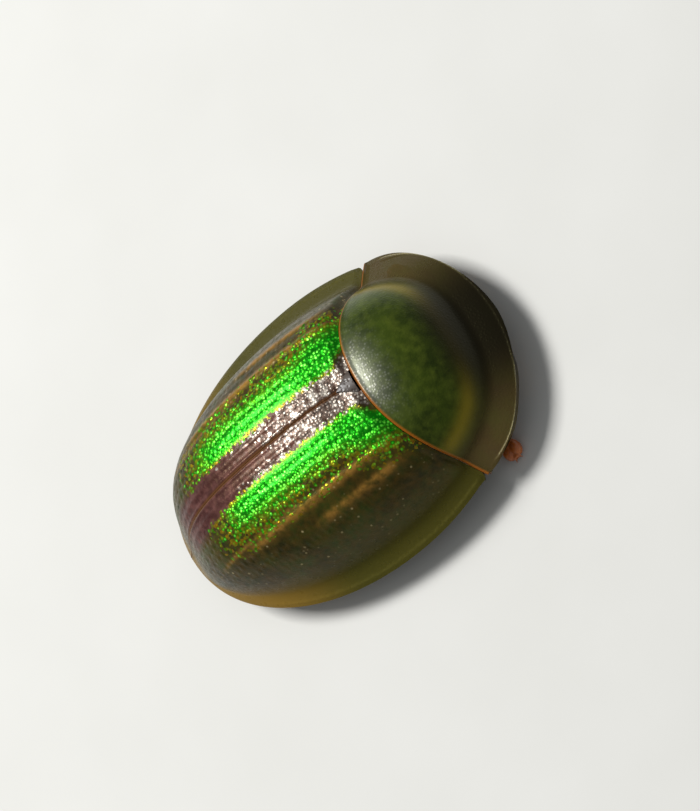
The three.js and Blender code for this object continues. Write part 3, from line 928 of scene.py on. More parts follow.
@dataclass
class Workbench:
    """Shared steps that turn a primitive into a finished piece."""

    pieces: list[Piece] = field(default_factory=list)
    merge_distance: float = 1e-5
    smooth_angle: float = 50

    def start(self) -> None:
        """Leave edit mode and clear the selection before a new primitive."""
        if bpy.context.object and bpy.context.object.mode != "OBJECT":
            bpy.ops.object.mode_set(mode="OBJECT")
        bpy.ops.object.select_all(action="DESELECT")

    def take(self, piece: Piece) -> None:
        """Select one piece and make it the active one.

        Args:
            piece: The piece.
        """
        self.start()
        piece.select_set(True)
        bpy.context.view_layer.objects.active = piece

    def places(self, piece: Piece) -> Array:
        """Read the places of a piece's vertices.

        Args:
            piece: The piece.

        Returns:
            One row of x, y and z for each vertex.
        """
        flat = np.empty(len(piece.data.vertices) * 3)
        piece.data.vertices.foreach_get("co", flat)
        return flat.reshape(-1, 3)

    def reshape(self, piece: Piece, change: Rule) -> None:
        """Move every vertex by a rule on the whole array of places."""
        piece.data.vertices.foreach_set("co", change(self.places(piece)).ravel())
        piece.data.update()

    def sheet(
        self, name: str, columns: int, rows: int, place: Callable[[Array, Array], Array], wall: float
    ) -> Piece:
        """Bend a flat grid into a thin curved sheet with a wall.

        Args:
            name: The piece's name.
            columns: Faces across the grid.
            rows: Faces along the grid.
            place: Gives the points in millimetres for u across and v along, each from 0 to 1.
            wall: The wall's thickness in millimetres, inwards from the outer face.

        Returns:
            The sheet, in millimetres.
        """
        self.start()
        bpy.ops.mesh.primitive_grid_add(x_subdivisions=columns, y_subdivisions=rows, size=1)
        sheet = bpy.context.object
        sheet.name = sheet.data.name = name
        grid = self.places(sheet)
        points = place(np.round(grid[:, 0] + 0.5, 6), np.round(grid[:, 1] + 0.5, 6))
        sheet.data.vertices.foreach_set("co", points.ravel())
        sheet.data.update()
        bpy.ops.object.mode_set(mode="EDIT")
        bpy.ops.mesh.select_all(action="SELECT")
        bpy.ops.mesh.remove_doubles(threshold=self.merge_distance)
        bpy.ops.mesh.normals_make_consistent(inside=False)
        bpy.ops.object.mode_set(mode="OBJECT")
        middle = sheet.data.polygons[len(sheet.data.polygons) // 2]
        if middle.normal.z < 0:
            sheet.data.flip_normals()
        solidify = sheet.modifiers.new("wall", "SOLIDIFY")
        solidify.thickness = wall
        solidify.offset = -1
        bpy.ops.object.modifier_apply(modifier=solidify.name)
        return sheet

    def sweep(self, name: str, rings: Sequence[Array]) -> Piece:
        """Draw a closed body out of a disc, one extrusion for each ring.

        Args:
            name: The piece's name.
            rings: Rings of equally many points, in millimetres.

        Returns:
            The body, in millimetres.
        """
        self.start()
        bpy.ops.mesh.primitive_circle_add(vertices=len(rings[0]), radius=1, fill_type="NGON")
        body = bpy.context.object
        body.name = body.data.name = name
        body.data.vertices.foreach_set("co", np.asarray(rings[0]).ravel())
        bpy.ops.object.mode_set(mode="EDIT")
        bpy.ops.mesh.select_all(action="SELECT")
        for before, ring in zip(rings, rings[1:]):
            bpy.ops.mesh.extrude_region()
            cage = bmesh.from_edit_mesh(body.data)
            moved = [v for v in cage.verts if v.select]
            at = np.array([v.co for v in moved])
            nearest = np.argmin(((at[:, None] - np.asarray(before)[None]) ** 2).sum(2), axis=1)
            for vertex, index in zip(moved, nearest):
                vertex.co = ring[index]
            bmesh.update_edit_mesh(body.data)
        bpy.ops.mesh.select_all(action="SELECT")
        bpy.ops.mesh.normals_make_consistent(inside=False)
        bpy.ops.object.mode_set(mode="OBJECT")
        return body

    def ball(
        self, name: str, centre: Sequence[float], radii: Triple, heading: float = 0.0, segments: int = 32
    ) -> Piece:
        """Add an ellipsoid turned about the upright axis.

        Args:
            name: The piece's name.
            centre: Its middle, in millimetres.
            radii: Its three radii, in millimetres.
            heading: The turn about the upright axis, in radians.
            segments: Faces round it, with half as many from pole to pole.

        Returns:
            The ellipsoid, in millimetres.
        """
        self.start()
        turn = (0, 0, heading)
        bpy.ops.mesh.primitive_uv_sphere_add(
            segments=segments, ring_count=segments // 2, location=centre, rotation=turn, scale=radii
        )
        bpy.ops.object.transform_apply()
        ball = bpy.context.object
        ball.name = ball.data.name = name
        return ball

    def weld(self, name: str, parts: Sequence[Piece], grain: float, rounds: int = 6) -> Piece:
        """Join parts into one skin without inner faces.

        Args:
            name: The name of the joined piece.
            parts: The closed parts.
            grain: Size of the voxels in millimetres.
            rounds: Smoothing passes over the joints.

        Returns:
            The joined piece.
        """
        self.start()
        for part in parts:
            part.select_set(True)
        bpy.context.view_layer.objects.active = parts[0]
        bpy.ops.object.join()
        piece = bpy.context.object
        piece.name = piece.data.name = name
        remesh = piece.modifiers.new("skin", "REMESH")
        remesh.mode = "VOXEL"
        remesh.voxel_size = grain
        bpy.ops.object.modifier_apply(modifier=remesh.name)
        relax = piece.modifiers.new("relax", "SMOOTH")
        relax.iterations = rounds
        bpy.ops.object.modifier_apply(modifier=relax.name)
        return piece

    def refine(self, piece: Piece, levels: int) -> None:
        """Round a coarse cage by subdivision.

        Args:
            piece: The cage.
            levels: How often its faces are divided.
        """
        self.take(piece)
        rounder = piece.modifiers.new("rounding", "SUBSURF")
        rounder.levels = rounder.render_levels = levels
        bpy.ops.object.modifier_apply(modifier=rounder.name)

    def paint(self, piece: Piece, masks: dict[str, Rule]) -> None:
        """Store masks on a piece's vertices.

        Args:
            piece: The piece, in millimetres.
            masks: For each mask's name, the rule that works it out from places.
        """
        places = self.places(piece)
        for key, rule in masks.items():
            layer = piece.data.attributes.new(key, "FLOAT", "POINT")
            layer.data.foreach_set("value", np.clip(rule(places), 0, 1).astype(np.float32))

    def finish(self, piece: Piece, material: Material, slot: str, *nodes: str) -> None:
        """Bring a piece into metres, give it its finish and hide the solids that it stands for.

        Args:
            piece: The piece, in millimetres.
            material: Its finish.
            slot: The record's material slot; not used.
            nodes: The solids that it replaces.
        """
        piece.data.transform(Matrix.Scale(METRES, 4))
        piece.data.materials.clear()
        piece.data.materials.append(material)
        self.take(piece)
        bpy.ops.object.shade_smooth_by_angle(angle=math.radians(self.smooth_angle))
        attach(piece, "root")
        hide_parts(*nodes)
        self.pieces.append(piece)
        LOG.info("%s: %d faces", piece.name, len(piece.data.polygons))


@dataclass
class WingCases:
    """The two domed wing cases, with pit rows, ridges, a seam groove and a thin raised rim."""

    bench: Workbench
    columns: int = 118
    rows: int = 250
    tail_crowding: float = 1.6
    wall: float = 0.1
    seam_gap: float = 0.006
    front_gap: float = 0.01
    tail_cut: float = 0.002
    corner_start: float = 0.93
    corner_cut: float = 0.08
    corner_curve: float = 2.5
    front_rounds: int = 8
    front_bend: float = 0.17
    front_step: float = 0.02
    row_narrowing: float = 0.4
    row_spacing: float = 0.152
    narrowest: float = 0.02
    pit_spacing: float = 0.1
    pit_stray: Double = (0.024, 0.03)
    pit_radius: float = 0.034
    pit_unevenness: float = 0.4
    pit_depth: float = 0.011
    pits_across: Fade = Fade(0.05, 0.5)
    pits_along: Fade = Fade(0.0, 0.2)
    pits_off_seam: Fade = Fade(0.2, 0.5)
    pits_at_seam: float = 0.25
    ridges: tuple[RowLine, ...] = (
        RowLine(Bead(1.02, 0.05, 0.022), Stretch(-0.95, 1.7, 0.5)),
        RowLine(Bead(1.27, 0.06, 0.018), Stretch(-0.85, 0.6, 0.5)),
        RowLine(Bead(0.2, 0.05, 0.012), Stretch(-0.3, 2.5, 0.6)),
    )
    shoulder_boss: Patch = Patch(1.22, -0.92, 0.2, 0.22, 0.05)
    front_hollow: Patch = Patch(0.0, -0.72, 0.5, 0.3, -0.05)
    seam_bead: Bead = Bead(0.05, 0.025, 0.01)
    seam_groove: Bead = Bead(0.0, 0.02, -0.008)
    rim_bead: Bead = Bead(0.05, 0.03, 0.008)
    rim_bead_end: Fade = Fade(2.0, 2.5)
    stripe: Double = (0.34, 0.88)
    stripe_front_shift: Double = (0.22, 0.2)
    stripe_front: tuple[Fade, Fade] = (Fade(-1.1, -0.8), Fade(-0.8, -0.25))
    stripe_inner_edge: Double = (-0.08, 0.05)
    stripe_outer_edge: Double = (-0.34, 0.24)
    stripe_end: Fade = Fade(1.3, 2.15)
    # The silvery zone, which also carries a painted highlight.
    silver_width: Fade = Fade(0.3, 0.5)
    silver_end: Fade = Fade(-0.35, 0.75)
    fringe: Stretch = Stretch(0.22, 0.36, 0.1)
    fringe_end: Fade = Fade(0.7, 1.5)
    fringe_strength: float = 0.6
    mauve_width: Fade = Fade(0.28, 0.48)
    mauve_start: Fade = Fade(-0.6, 0.3)
    mauve_end: Fade = Fade(2.3, 2.75)
    golden_lines: tuple[RowLine, ...] = (
        RowLine(Bead(1.02, 0.045, 1.0), Stretch(-0.95, 1.6, 0.5)),
        RowLine(Bead(1.27, 0.05, 0.8), Stretch(-0.9, 0.5, 0.5)),
        RowLine(Bead(0.92, 0.03, 0.5), Stretch(0.6, 2.2, 0.4)),
    )
    margin_across: Fade = Fade(-0.2, 0.25)
    margin_along: Fade = Fade(-0.1, 0.15)
    rear_start: Fade = Fade(0.8, 2.3)
    # Where the painted shade lies in the hollows beside the scutellum.
    dark_hollow: Patch = Patch(0.36, -0.93, 0.13, 0.09, 0.85)
    seam_line: Fade = Fade(0.012, 0.04)

    def lateral(self, x: Array, y: Array) -> Array:
        """Distance from the seam along the pit rows, which close in towards the tail."""
        narrowing = (np.maximum(SHELL.plan(y), self.narrowest) / SHELL.half_width) ** self.row_narrowing
        return np.abs(x) / narrowing

    def pits(self, s: Array, y: Array) -> Array:
        """Rows of round pits, staggered from row to row and a little uneven.

        Args:
            s: Distances from the seam along the pit rows.
            y: Places along the body.

        Returns:
            One in the middle of a pit and 0 between the pits.
        """
        row = np.round(s / self.row_spacing)
        step = y / self.pit_spacing + 0.5 * (row % 2)
        hole = np.round(step)
        dy = (step - hole) * self.pit_spacing + self.pit_stray[1] * (scatter(row, hole, 1.0) - 0.5)
        ds = s - row * self.row_spacing + self.pit_stray[0] * (scatter(row, hole, 2.0) - 0.5)
        size = self.pit_radius * (1 + self.pit_unevenness * (scatter(row, hole, 3.0) - 0.5))
        return np.exp(-(ds * ds + dy * dy) / size**2) * (row > 0)

    def relief(self, x: Array, y: Array) -> Array:
        """Fine relief added to the plain dome: pits, ridges, seam bead and rim bead.

        Args:
            x: Places across the body.
            y: Places along it.

        Returns:
            The height to add at each place.
        """
        s = self.lateral(x, y)
        across, along = SHELL.dome_parts(x, y)
        off_seam = self.pits_at_seam + (1 - self.pits_at_seam) * self.pits_off_seam.rise(s)
        pits = self.pits(s, y) * self.pits_across.rise(across) * self.pits_along.rise(along) * off_seam
        ridges = sum(line.profile(s, y) for line in self.ridges)
        front = self.shoulder_boss.profile(x, y) + self.front_hollow.profile(x, y)
        seam = self.seam_bead.profile(s) + self.seam_groove.profile(s)
        rim = self.rim_bead.profile(SHELL.plan(y) - np.abs(x)) * self.rim_bead_end.fall(y)
        return ridges + front + seam + rim - self.pit_depth * pits

    def shoulder_drop(self, x: Array, front: Array, y: Array, z: Array) -> Array:
        """How far the front edge bends down to meet the shield.

        Args:
            x: Places across the body.
            front: The front edge's y at each place.
            y: Places along the body.
            z: Their heights before the bend.

        Returns:
            The height to take away.
        """
        level = SHELL.shield_height(x, SHELL.shield_rear(x)) - self.front_step
        near = 1 - smooth(y - front, 0.0, self.front_bend)
        return np.maximum(0, z - level) * near * near

    def place(self, side: Side, u: Array, v: Array) -> Array:
        """Bend the flat grid into one wing case.

        Args:
            side: The wing case's side.
            u: Share of the way from the seam to the rim.
            v: Share of the way from the front edge to the tail.

        Returns:
            The points in millimetres.
        """
        x = u * SHELL.shoulder_half_width
        # The front edge depends on x and x on the front edge, so both settle in a few rounds.
        for _ in range(self.front_rounds):
            outer = np.maximum(0, (u - self.corner_start) / (1 - self.corner_start))
            front = SHELL.shield_rear(x) + self.front_gap + self.corner_cut * outer**self.corner_curve
            inner = SHELL.seam_edge(front, self.seam_gap)
            x = inner + u * (SHELL.plan(front) - inner)
        along = 1 - (1 - v) ** self.tail_crowding
        y = front + (SHELL.tail_y - self.tail_cut - front) * along
        inner = SHELL.seam_edge(y, self.seam_gap)
        x = inner + u * (np.maximum(SHELL.plan(y), inner) - inner)
        z = SHELL.case_height(x, y) + self.relief(x, y)
        z = z - self.shoulder_drop(x, front, y, z)
        return np.stack([side.value * x, y, z], 1)

    def green(self, p: Array) -> Array:
        """The emerald stripe, whose edges turn outwards at the front.

        Args:
            p: Places in millimetres.

        Returns:
            The mask.
        """
        s, y = self.lateral(p[:, 0], p[:, 1]), p[:, 1]
        low = self.stripe[0] + self.stripe_front_shift[0] * self.stripe_front[0].fall(y)
        high = self.stripe[1] + self.stripe_front_shift[1] * self.stripe_front[1].fall(y)
        inner = smooth(s, low + self.stripe_inner_edge[0], low + self.stripe_inner_edge[1])
        outer = 1 - smooth(s, high + self.stripe_outer_edge[0], high + self.stripe_outer_edge[1])
        return inner * outer * self.stripe_end.fall(y)

    def silver_and_highlight(self, p: Array) -> Array:
        """The silvery zone beside the seam, with a fringe along the stripe, which also carries a painted
        highlight.

        Args:
            p: Places in millimetres.

        Returns:
            The mask.
        """
        s, y = self.lateral(p[:, 0], p[:, 1]), p[:, 1]
        front = self.silver_width.fall(s) * self.silver_end.fall(y)
        fringe = self.fringe_strength * self.fringe.inside(s) * self.fringe_end.fall(y)
        return np.maximum(front, fringe)

    def mauve(self, p: Array) -> Array:
        """The mauve band along the rear of the seam."""
        s, y = self.lateral(p[:, 0], p[:, 1]), p[:, 1]
        return self.mauve_width.fall(s) * self.mauve_start.rise(y) * self.mauve_end.fall(y)

    def golden(self, p: Array) -> Array:
        """The golden lines on the ridges."""
        s, y = self.lateral(p[:, 0], p[:, 1]), p[:, 1]
        return sum(line.profile(s, y) for line in self.golden_lines)

    def margin(self, p: Array) -> Array:
        """The clear margin outside the dome."""
        across, along = SHELL.dome_parts(p[:, 0], p[:, 1])
        return 1 - self.margin_across.rise(across) * self.margin_along.rise(along)

    def rear(self, p: Array) -> Array:
        """The rear of the body, where the margin turns brown."""
        return self.rear_start.rise(p[:, 1])

    def hollow(self, p: Array) -> Array:
        """Painted shade in the hollows on both sides of the scutellum."""
        return self.dark_hollow.profile(p[:, 0], p[:, 1])

    def seam(self, p: Array) -> Array:
        """The thin line along the seam."""
        return self.seam_line.fall(self.lateral(p[:, 0], p[:, 1]))

    def masks(self) -> dict[str, Rule]:
        """The rule of each mask, by the name that the finish reads.

        Returns:
            The rules.
        """
        return {
            "green": self.green,
            "silver_and_highlight": self.silver_and_highlight,
            "mauve": self.mauve,
            "ridge": self.golden,
            "margin": self.margin,
            "rear": self.rear,
            "hollow": self.hollow,
            "seam": self.seam,
        }

    def build(self, material: Material) -> None:
        """Make both wing cases.

        Args:
            material: Their finish.
        """
        for side in Side:
            name = f"wing_case_{side.word}"
            piece = self.bench.sheet(name, self.columns, self.rows, partial(self.place, side), self.wall)
            self.bench.paint(piece, self.masks())
            self.bench.finish(piece, material, "elytra", f"elytron_{side.word}")


@dataclass
class Shield:
    """The shield over the head, with its beaded rear edge, and the scutellum behind it."""

    bench: Workbench
    columns: int = 210
    rows: int = 110
    wall: float = 0.09
    corner_share: float = 0.9985
    rear_bead: Bead = Bead(0.04, 0.03, 0.02)
    rear_rounding: Bead = Bead(0.0, 0.02, -0.02)
    crease: Bead = Bead(-0.1, 0.1, -0.008)
    front_bead: Bead = Bead(0.95, 0.03, 0.014)
    front_bead_start: Fade = Fade(-1.9, -1.6)
    margin_start: Fade = Fade(-0.12, 0.2)
    ring_bead: Bead = Bead(0.16, 0.09, 0.8)
    ring_start: Fade = Fade(-1.5, -1.1)
    # Where the painted highlight lies.
    painted_highlight_patch: Patch = Patch(0.0, 0.0, 0.44, 0.28, 0.85)
    painted_highlight_start: float = 0.06
    line_width: Fade = Fade(0.02, 0.06)
    # Painted shade over the front: the head seen through the shield and the shadow beneath it.
    shade_centre_y: float = -2.57
    shade_radii: Double = (1.12, 0.5)
    shade_squareness: tuple[int, int] = (4, 6)
    shade_strength: float = 0.97
    plate_columns: int = 16
    plate_rows: int = 20
    plate_wall: float = 0.12
    plate_front_gap: float = 0.02
    plate_taper: float = 1.3
    plate_sink: float = 0.03
    plate_crown: float = 0.03

    def relief(self, x: Array, y: Array) -> Array:
        """Fine relief: a bead along the rear edge, a raised front edge and a crease round the dome.

        Args:
            x: Places across the body.
            y: Places along it.

        Returns:
            The height to add at each place.
        """
        rear = SHELL.shield_rear(x) - y
        bead = self.rear_bead.profile(rear) + self.rear_rounding.profile(rear)
        crease = self.crease.profile(SHELL.shield_inside(x, y))
        front = self.front_bead.profile(SHELL.shield_edge(x, y)) * self.front_bead_start.fall(y)
        return bead + crease + front

    def place(self, u: Array, v: Array) -> Array:
        """Bend the flat grid into the shield.

        Args:
            u: Share of the way from the right corner to the left.
            v: Share of the way from the rear edge to the front.

        Returns:
            The points in millimetres.
        """
        x = -SHELL.shield_half_width * self.corner_share * np.cos(u * math.pi)
        rear = SHELL.shield_rear(x)
        y = rear + (SHELL.shield_front(x) - rear) * v
        return np.stack([x, y, SHELL.shield_height(x, y) + self.relief(x, y)], 1)

    def place_plate(self, u: Array, v: Array) -> Array:
        """Bend a flat grid into the scutellum.

        Args:
            u: Share of the way from the right to the left.
            v: Share of the way from the front to the tip.

        Returns:
            The points in millimetres.
        """
        y = SHELL.shield_rear_y + self.plate_front_gap + SHELL.scutellum_length * v
        across = 2 * u - 1
        x = SHELL.scutellum_half_width * (1 - v**self.plate_taper) * across
        crown = self.plate_crown * (1 - across**2) * (1 - v)
        return np.stack([x, y, SHELL.case_height(x, y) - self.plate_sink + crown], 1)

    def margin(self, p: Array) -> Array:
        """The clear margin outside the dome."""
        return self.margin_start.fall(SHELL.shield_inside(p[:, 0], p[:, 1]))

    def ring(self, p: Array) -> Array:
        """The golden ring round the front of the dome's foot."""
        inside = SHELL.shield_inside(p[:, 0], p[:, 1])
        return self.ring_bead.profile(inside) * self.ring_start.fall(p[:, 1])

    def bloom(self, p: Array) -> Array:
        """Painted highlight: a silvery bloom at the middle of the rear edge."""
        rear = SHELL.shield_rear(p[:, 0]) - p[:, 1]
        return self.painted_highlight_patch.profile(p[:, 0], np.maximum(0, rear - self.painted_highlight_start))

    def line(self, p: Array) -> Array:
        """The fine line along the rear edge."""
        return self.line_width.fall(SHELL.shield_rear(p[:, 0]) - p[:, 1])

    def shadow(self, p: Array) -> Array:
        """Painted shade over the front of the shield, for the dark head seen through it and the shadow
        beneath its margin.

        Args:
            p: Places in millimetres.

        Returns:
            The mask.
        """
        across = (p[:, 0] / self.shade_radii[0]) ** self.shade_squareness[0]
        along = ((p[:, 1] - self.shade_centre_y) / self.shade_radii[1]) ** self.shade_squareness[1]
        return self.shade_strength * np.exp(-across - along)

    def masks(self) -> dict[str, Rule]:
        """The rule of each mask, by the name that the finish reads."""
        rules = (self.margin, self.ring, self.bloom, self.line, self.shadow)
        return {rule.__name__: rule for rule in rules}

    def build(self, material: Material, dark: Material) -> None:
        """Make the shield and the scutellum.

        Args:
            material: The shield's finish.
            dark: The scutellum's finish.
        """
        piece = self.bench.sheet("shield", self.columns, self.rows, self.place, self.wall)
        self.bench.paint(piece, self.masks())
        self.bench.finish(piece, material, "pronotum", "pronotum")
        plate = self.bench.sheet(
            "scutellum_plate", self.plate_columns, self.plate_rows, self.place_plate, self.plate_wall
        )
        self.bench.finish(plate, dark, "scutellum", "scutellum")


@dataclass(frozen=True)
class Clearance:
    """Room between a shell's outer face and the body below, more of it towards the sides."""

    middle: float
    more: float
    sides: Fade

    def below(self, height: Array, x: Array) -> Array:
        """The height that the body may reach under the shell."""
        return height - self.middle - self.more * self.sides.rise(np.abs(x))


@dataclass
class Trunk:
    """Prothorax, hind thorax and abdomen under the shell."""

    bench: Workbench
    side_height: float = 0.7
    belly_height: float = 0.6
    sides: int = 40
    widest: float = 1.22
    back_rise: float = 0.02
    under_cases: Clearance = Clearance(0.2, 0.45, Fade(0.6, 1.3))
    under_shield: Clearance = Clearance(0.16, 0.25, Fade(0.5, 1.1))
    shield_end_y: float = -0.9
    squareness: int = 4
    keel: Bead = Bead(0.0, 0.25, 0.02)
    prothorax_ys: Double = (-1.82, -1.09)
    prothorax_rings: int = 14
    prothorax_half_width: float = 1.0
    prothorax_taper: float = 0.3
    prothorax_front: Fade = Fade(-1.9, -1.3)
    thorax_ys: Double = (-1.05, 0.5)
    thorax_rings: int = 30
    thorax_taper: float = 0.16
    thorax_front: Fade = Fade(-1.05, 0.0)
    thorax_groove: Bead = Bead(-0.1, 0.03, 0.03)
    abdomen_ys: Double = (0.54, 2.2)
    abdomen_rings: int = 61
    segments: int = 5
    groove_share: float = 0.13
    groove_side: float = 0.02
    groove_belly: float = 0.022
    abdomen_taper: Double = (2.4, 0.55)
    tail_width: float = 0.2
    tail_lift: float = 0.06
    tail_lift_y: float = 1.4
    pale_edge: Fade = Fade(0.95, 1.2)
    pale_edge_turn: float = 0.35
    pale_edge_turn_y: float = 1.0

    def roof(self, x: Array, y: float) -> Array:
        """Height of the body's back below the shell.

        Args:
            x: Places across the body.
            y: The place along it.

        Returns:
            The height at each place.
        """
        ys = np.full_like(x, y)
        reach = self.under_cases.below(SHELL.case_height(x, ys), x)
        if y < self.shield_end_y:
            reach = np.minimum(reach, self.under_shield.below(SHELL.shield_height(x, ys), x))
        return np.maximum(self.side_height + self.back_rise, reach)

    def ring(self, y: float, half_width: float, belly: float) -> Array:
        """One cross-section of the trunk.

        Args:
            y: Its place along the body.
            half_width: Its half width.
            belly: The height of its underside.

        Returns:
            The ring's points.
        """
        turn = 2 * math.pi * np.arange(self.sides) / self.sides
        x = half_width * np.cos(turn)
        bulge = np.sqrt(1 - np.cos(turn) ** self.squareness)
        far = np.where(np.sin(turn) >= 0, self.roof(x, y), belly)
        keel = self.keel.profile(x) * (np.sin(turn) < 0)
        z = self.side_height + (far - self.side_height) * bulge - keel
        return np.stack([x, np.full_like(x, y), z], 1)

    def prothorax(self) -> list[Array]:
        """Cross-sections of the prothorax, narrower towards the head.

        Returns:
            The rings from front to rear.
        """
        ys = np.linspace(*self.prothorax_ys, self.prothorax_rings)
        widths = self.prothorax_half_width - self.prothorax_taper * self.prothorax_front.fall(ys)
        return [self.ring(y, width, self.belly_height) for y, width in zip(ys, widths)]

    def thorax(self) -> list[Array]:
        """Cross-sections of the hind thorax, with a groove across its underside.

        Returns:
            The rings from front to rear.
        """
        ys = np.linspace(*self.thorax_ys, self.thorax_rings)
        widths = self.widest - self.thorax_taper * self.thorax_front.fall(ys)
        bellies = self.belly_height + self.thorax_groove.profile(ys)
        return [self.ring(y, width, belly) for y, width, belly in zip(ys, widths, bellies)]

    def abdomen(self) -> list[Array]:
        """Cross-sections of the abdomen, pinched between one segment and the next.

        Returns:
            The rings from front to rear.
        """
        start, end = self.abdomen_ys
        t = np.linspace(0, 1, self.abdomen_rings)
        ys = start + (end - start) * t
        groove = swell(t * self.segments - np.round(t * self.segments), 0.0, self.groove_share)
        power, root = self.abdomen_taper
        widths = self.widest * (1 - t**power) ** root + self.tail_width * t - self.groove_side * groove
        bellies = self.belly_height + self.groove_belly * groove
        bellies = bellies + self.tail_lift * smooth(ys, self.tail_lift_y, end)
        return [self.ring(y, width, belly) for y, width, belly in zip(ys, widths, bellies)]

    def edge(self, p: Array) -> Array:
        """The pale edge of the abdomen, which turns in round the tail."""
        tail = self.pale_edge_turn * np.maximum(0, p[:, 1] - self.pale_edge_turn_y)
        return self.pale_edge.rise(np.abs(p[:, 0]) + tail)

    def build(self, dark: Material, edged: Material) -> None:
        """Make the three lengths of the body.

        Args:
            dark: The finish of the prothorax and the thorax.
            edged: The finish of the abdomen.
        """
        piece = self.bench.sweep("prothorax_body", self.prothorax())
        self.bench.finish(piece, dark, "underside", "prothorax")
        piece = self.bench.sweep("thorax_body", self.thorax())
        self.bench.finish(piece, dark, "underside", "thorax")
        piece = self.bench.sweep("abdomen_body", self.abdomen())
        self.bench.paint(piece, {"edge": self.edge})
        self.bench.finish(piece, edged, "abdomen", "abdomen")


def limb_ring(
    centre: Vector, axis: Vector, radius: float, sides: int, squash: float = 1.0, start: float = 0.5
) -> Array:
    """A ring round an axis.

    Args:
        centre: The ring's middle.
        axis: The direction that the ring faces.
        radius: Its radius across.
        sides: How many points it has.
        squash: Its height as a share of its width.
        start: Where its first point lies, as a share of the step to the next.

    Returns:
        The ring's points.
    """
    along = axis.normalized()
    flat = UP.cross(along).normalized()
    up = along.cross(flat)
    turns = 2 * math.pi * (np.arange(sides)[:, None] + start) / sides
    ring = np.cos(turns) * np.array(flat) + squash * np.sin(turns) * np.array(up)
    return np.array(centre) + radius * ring


@dataclass
class Head:
    """The head with its eyes, mouthparts and feelers, tucked under the shield."""

    bench: Workbench
    centre: Triple = (0.0, -2.06, 0.52)
    radii: Triple = (0.5, 0.26, 0.34)
    skull_segments: int = 64
    side: float = 0.36
    side_overlap: float = 0.02
    neck_y: float = -1.86
    shield_room: float = 0.2
    bottom: float = 0.26
    brow_groove: Bead = Bead(0.0, 0.03, 0.03)
    brow_front: Fade = Fade(-2.25, -2.1)
    eye_radii: Triple = (0.13, 0.15, 0.19)
    eye_place: Triple = (0.01, -0.02, -0.03)
    eye_sink: float = 0.03
    eye_segments: int = 40
    feeler_path: tuple[Triple, ...] = (
        (0.15, -2.38, 0.36),
        (0.42, -2.5, 0.29),
        (0.74, -2.46, 0.26),
        (0.98, -2.3, 0.25),
        (1.12, -2.12, 0.24),
    )
    beads: int = 11
    rings_per_bead: int = 6
    feeler_sides: int = 14
    feeler_radii: Double = (0.058, 0.092)
    feeler_swelling: Fade = Fade(0.35, 0.7)
    feeler_step: float = 0.01
    neck_share: float = 0.62
    tip_start: float = 0.97
    tip_length: float = 0.031
    tip_least: float = 0.15
    dark_tip: Fade = Fade(0.8, 1.2)
    mouth_grain: float = 0.012
    mouth_rounds: int = 3
    mouth_place: Triple = (0.0, -2.14, 0.24)
    lip_place: Triple = (0.0, 0.0, -0.05)
    lip_radii: Triple = (0.19, 0.12, 0.08)
    lip_segments: int = 24
    jaw_place: Triple = (0.07, -0.07, -0.08)
    jaw_radii: Triple = (0.07, 0.06, 0.06)
    jaw_segments: int = 16
    palp_root: Triple = (0.12, 0.0, -0.06)
    palp_tip: Triple = (0.24, -0.14, -0.1)
    palp_radii: Double = (0.035, 0.023)
    palp_rings: int = 6
    palp_sides: int = 10

    def skull(self, p: Array) -> Array:
        """Flatten the sides for the eyes and keep the top below the shield.

        Args:
            p: Places on the plain ellipsoid.

        Returns:
            Their new places.
        """
        reach = self.side + self.side_overlap
        x = np.clip(p[:, 0], -reach, reach)
        y = np.minimum(p[:, 1], self.neck_y)
        top = SHELL.shield_height(x, y) - self.shield_room
        z = np.maximum(self.bottom, np.minimum(p[:, 2], top))
        groove = self.brow_groove.profile(x) * self.brow_front.fall(p[:, 1])
        return np.stack([x, y + groove, z], 1)

    def flatten_eye(self, side: Side, p: Array) -> Array:
        """Cut an eye flat where it meets the head.

        Args:
            side: The eye's side.
            p: Places on the plain ellipsoid.

        Returns:
            Their new places.
        """
        inner = self.side + self.eye_place[0] - self.eye_sink
        x = side.value * np.maximum(inner, side.value * p[:, 0])
        return np.stack([x, p[:, 1], p[:, 2]], 1)

    def feeler_point(self, t: float) -> Vector:
        """A place on the feeler's curve, on the left side.

        Args:
            t: Share of the way from the root to the tip.

        Returns:
            The place in millimetres.
        """
        points = [Vector(p) for p in self.feeler_path]
        spans = len(points) - 1
        i = min(int(t * spans), spans - 1)
        f = t * spans - i
        a, b = points[i], points[i + 1]
        before = points[i - 1] if i else 2 * a - b
        after = points[i + 2] if i + 2 <= spans else 2 * b - a
        first = (b - before) * f
        second = (2 * before - 5 * a + 4 * b - after) * f**2
        third = (3 * a - before - 3 * b + after) * f**3
        return 0.5 * (2 * a + first + second + third)

    def feeler_radius(self, t: float, phase: float) -> float:
        """The feeler's thickness, which swells and closes once for each bead.

        Args:
            t: Share of the way from the root to the tip.
            phase: Share of the way along the bead.

        Returns:
            The radius in millimetres.
        """
        thin, thick = self.feeler_radii
        radius = thin + (thick - thin) * float(self.feeler_swelling.rise(t))
        radius *= self.neck_share + (1 - self.neck_share) * math.sin(math.pi * phase) ** 0.5
        if t < self.tip_start:
            return radius
        return radius * max(self.tip_least, math.sqrt(1 - ((t - self.tip_start) / self.tip_length) ** 2))

    def feeler_rings(self, side: Side) -> list[Array]:
        """Rings along a feeler.

        Args:
            side: The feeler's side.

        Returns:
            The rings from the root to the tip.
        """
        steps = self.beads * self.rings_per_bead
        rings = []
        for j in range(steps + 1):
            t = j / steps
            ahead = self.feeler_point(min(1, t + self.feeler_step))
            behind = self.feeler_point(max(0, t - self.feeler_step))
            radius = self.feeler_radius(t, (j % self.rings_per_bead) / self.rings_per_bead)
            ring = limb_ring(self.feeler_point(t), ahead - behind, radius, self.feeler_sides, start=0.0)
            rings.append(ring * (side.value, 1, 1))
        return rings

    def tip(self, p: Array) -> Array:
        """The dark outer part of the feelers."""
        return self.dark_tip.rise(np.abs(p[:, 0]))

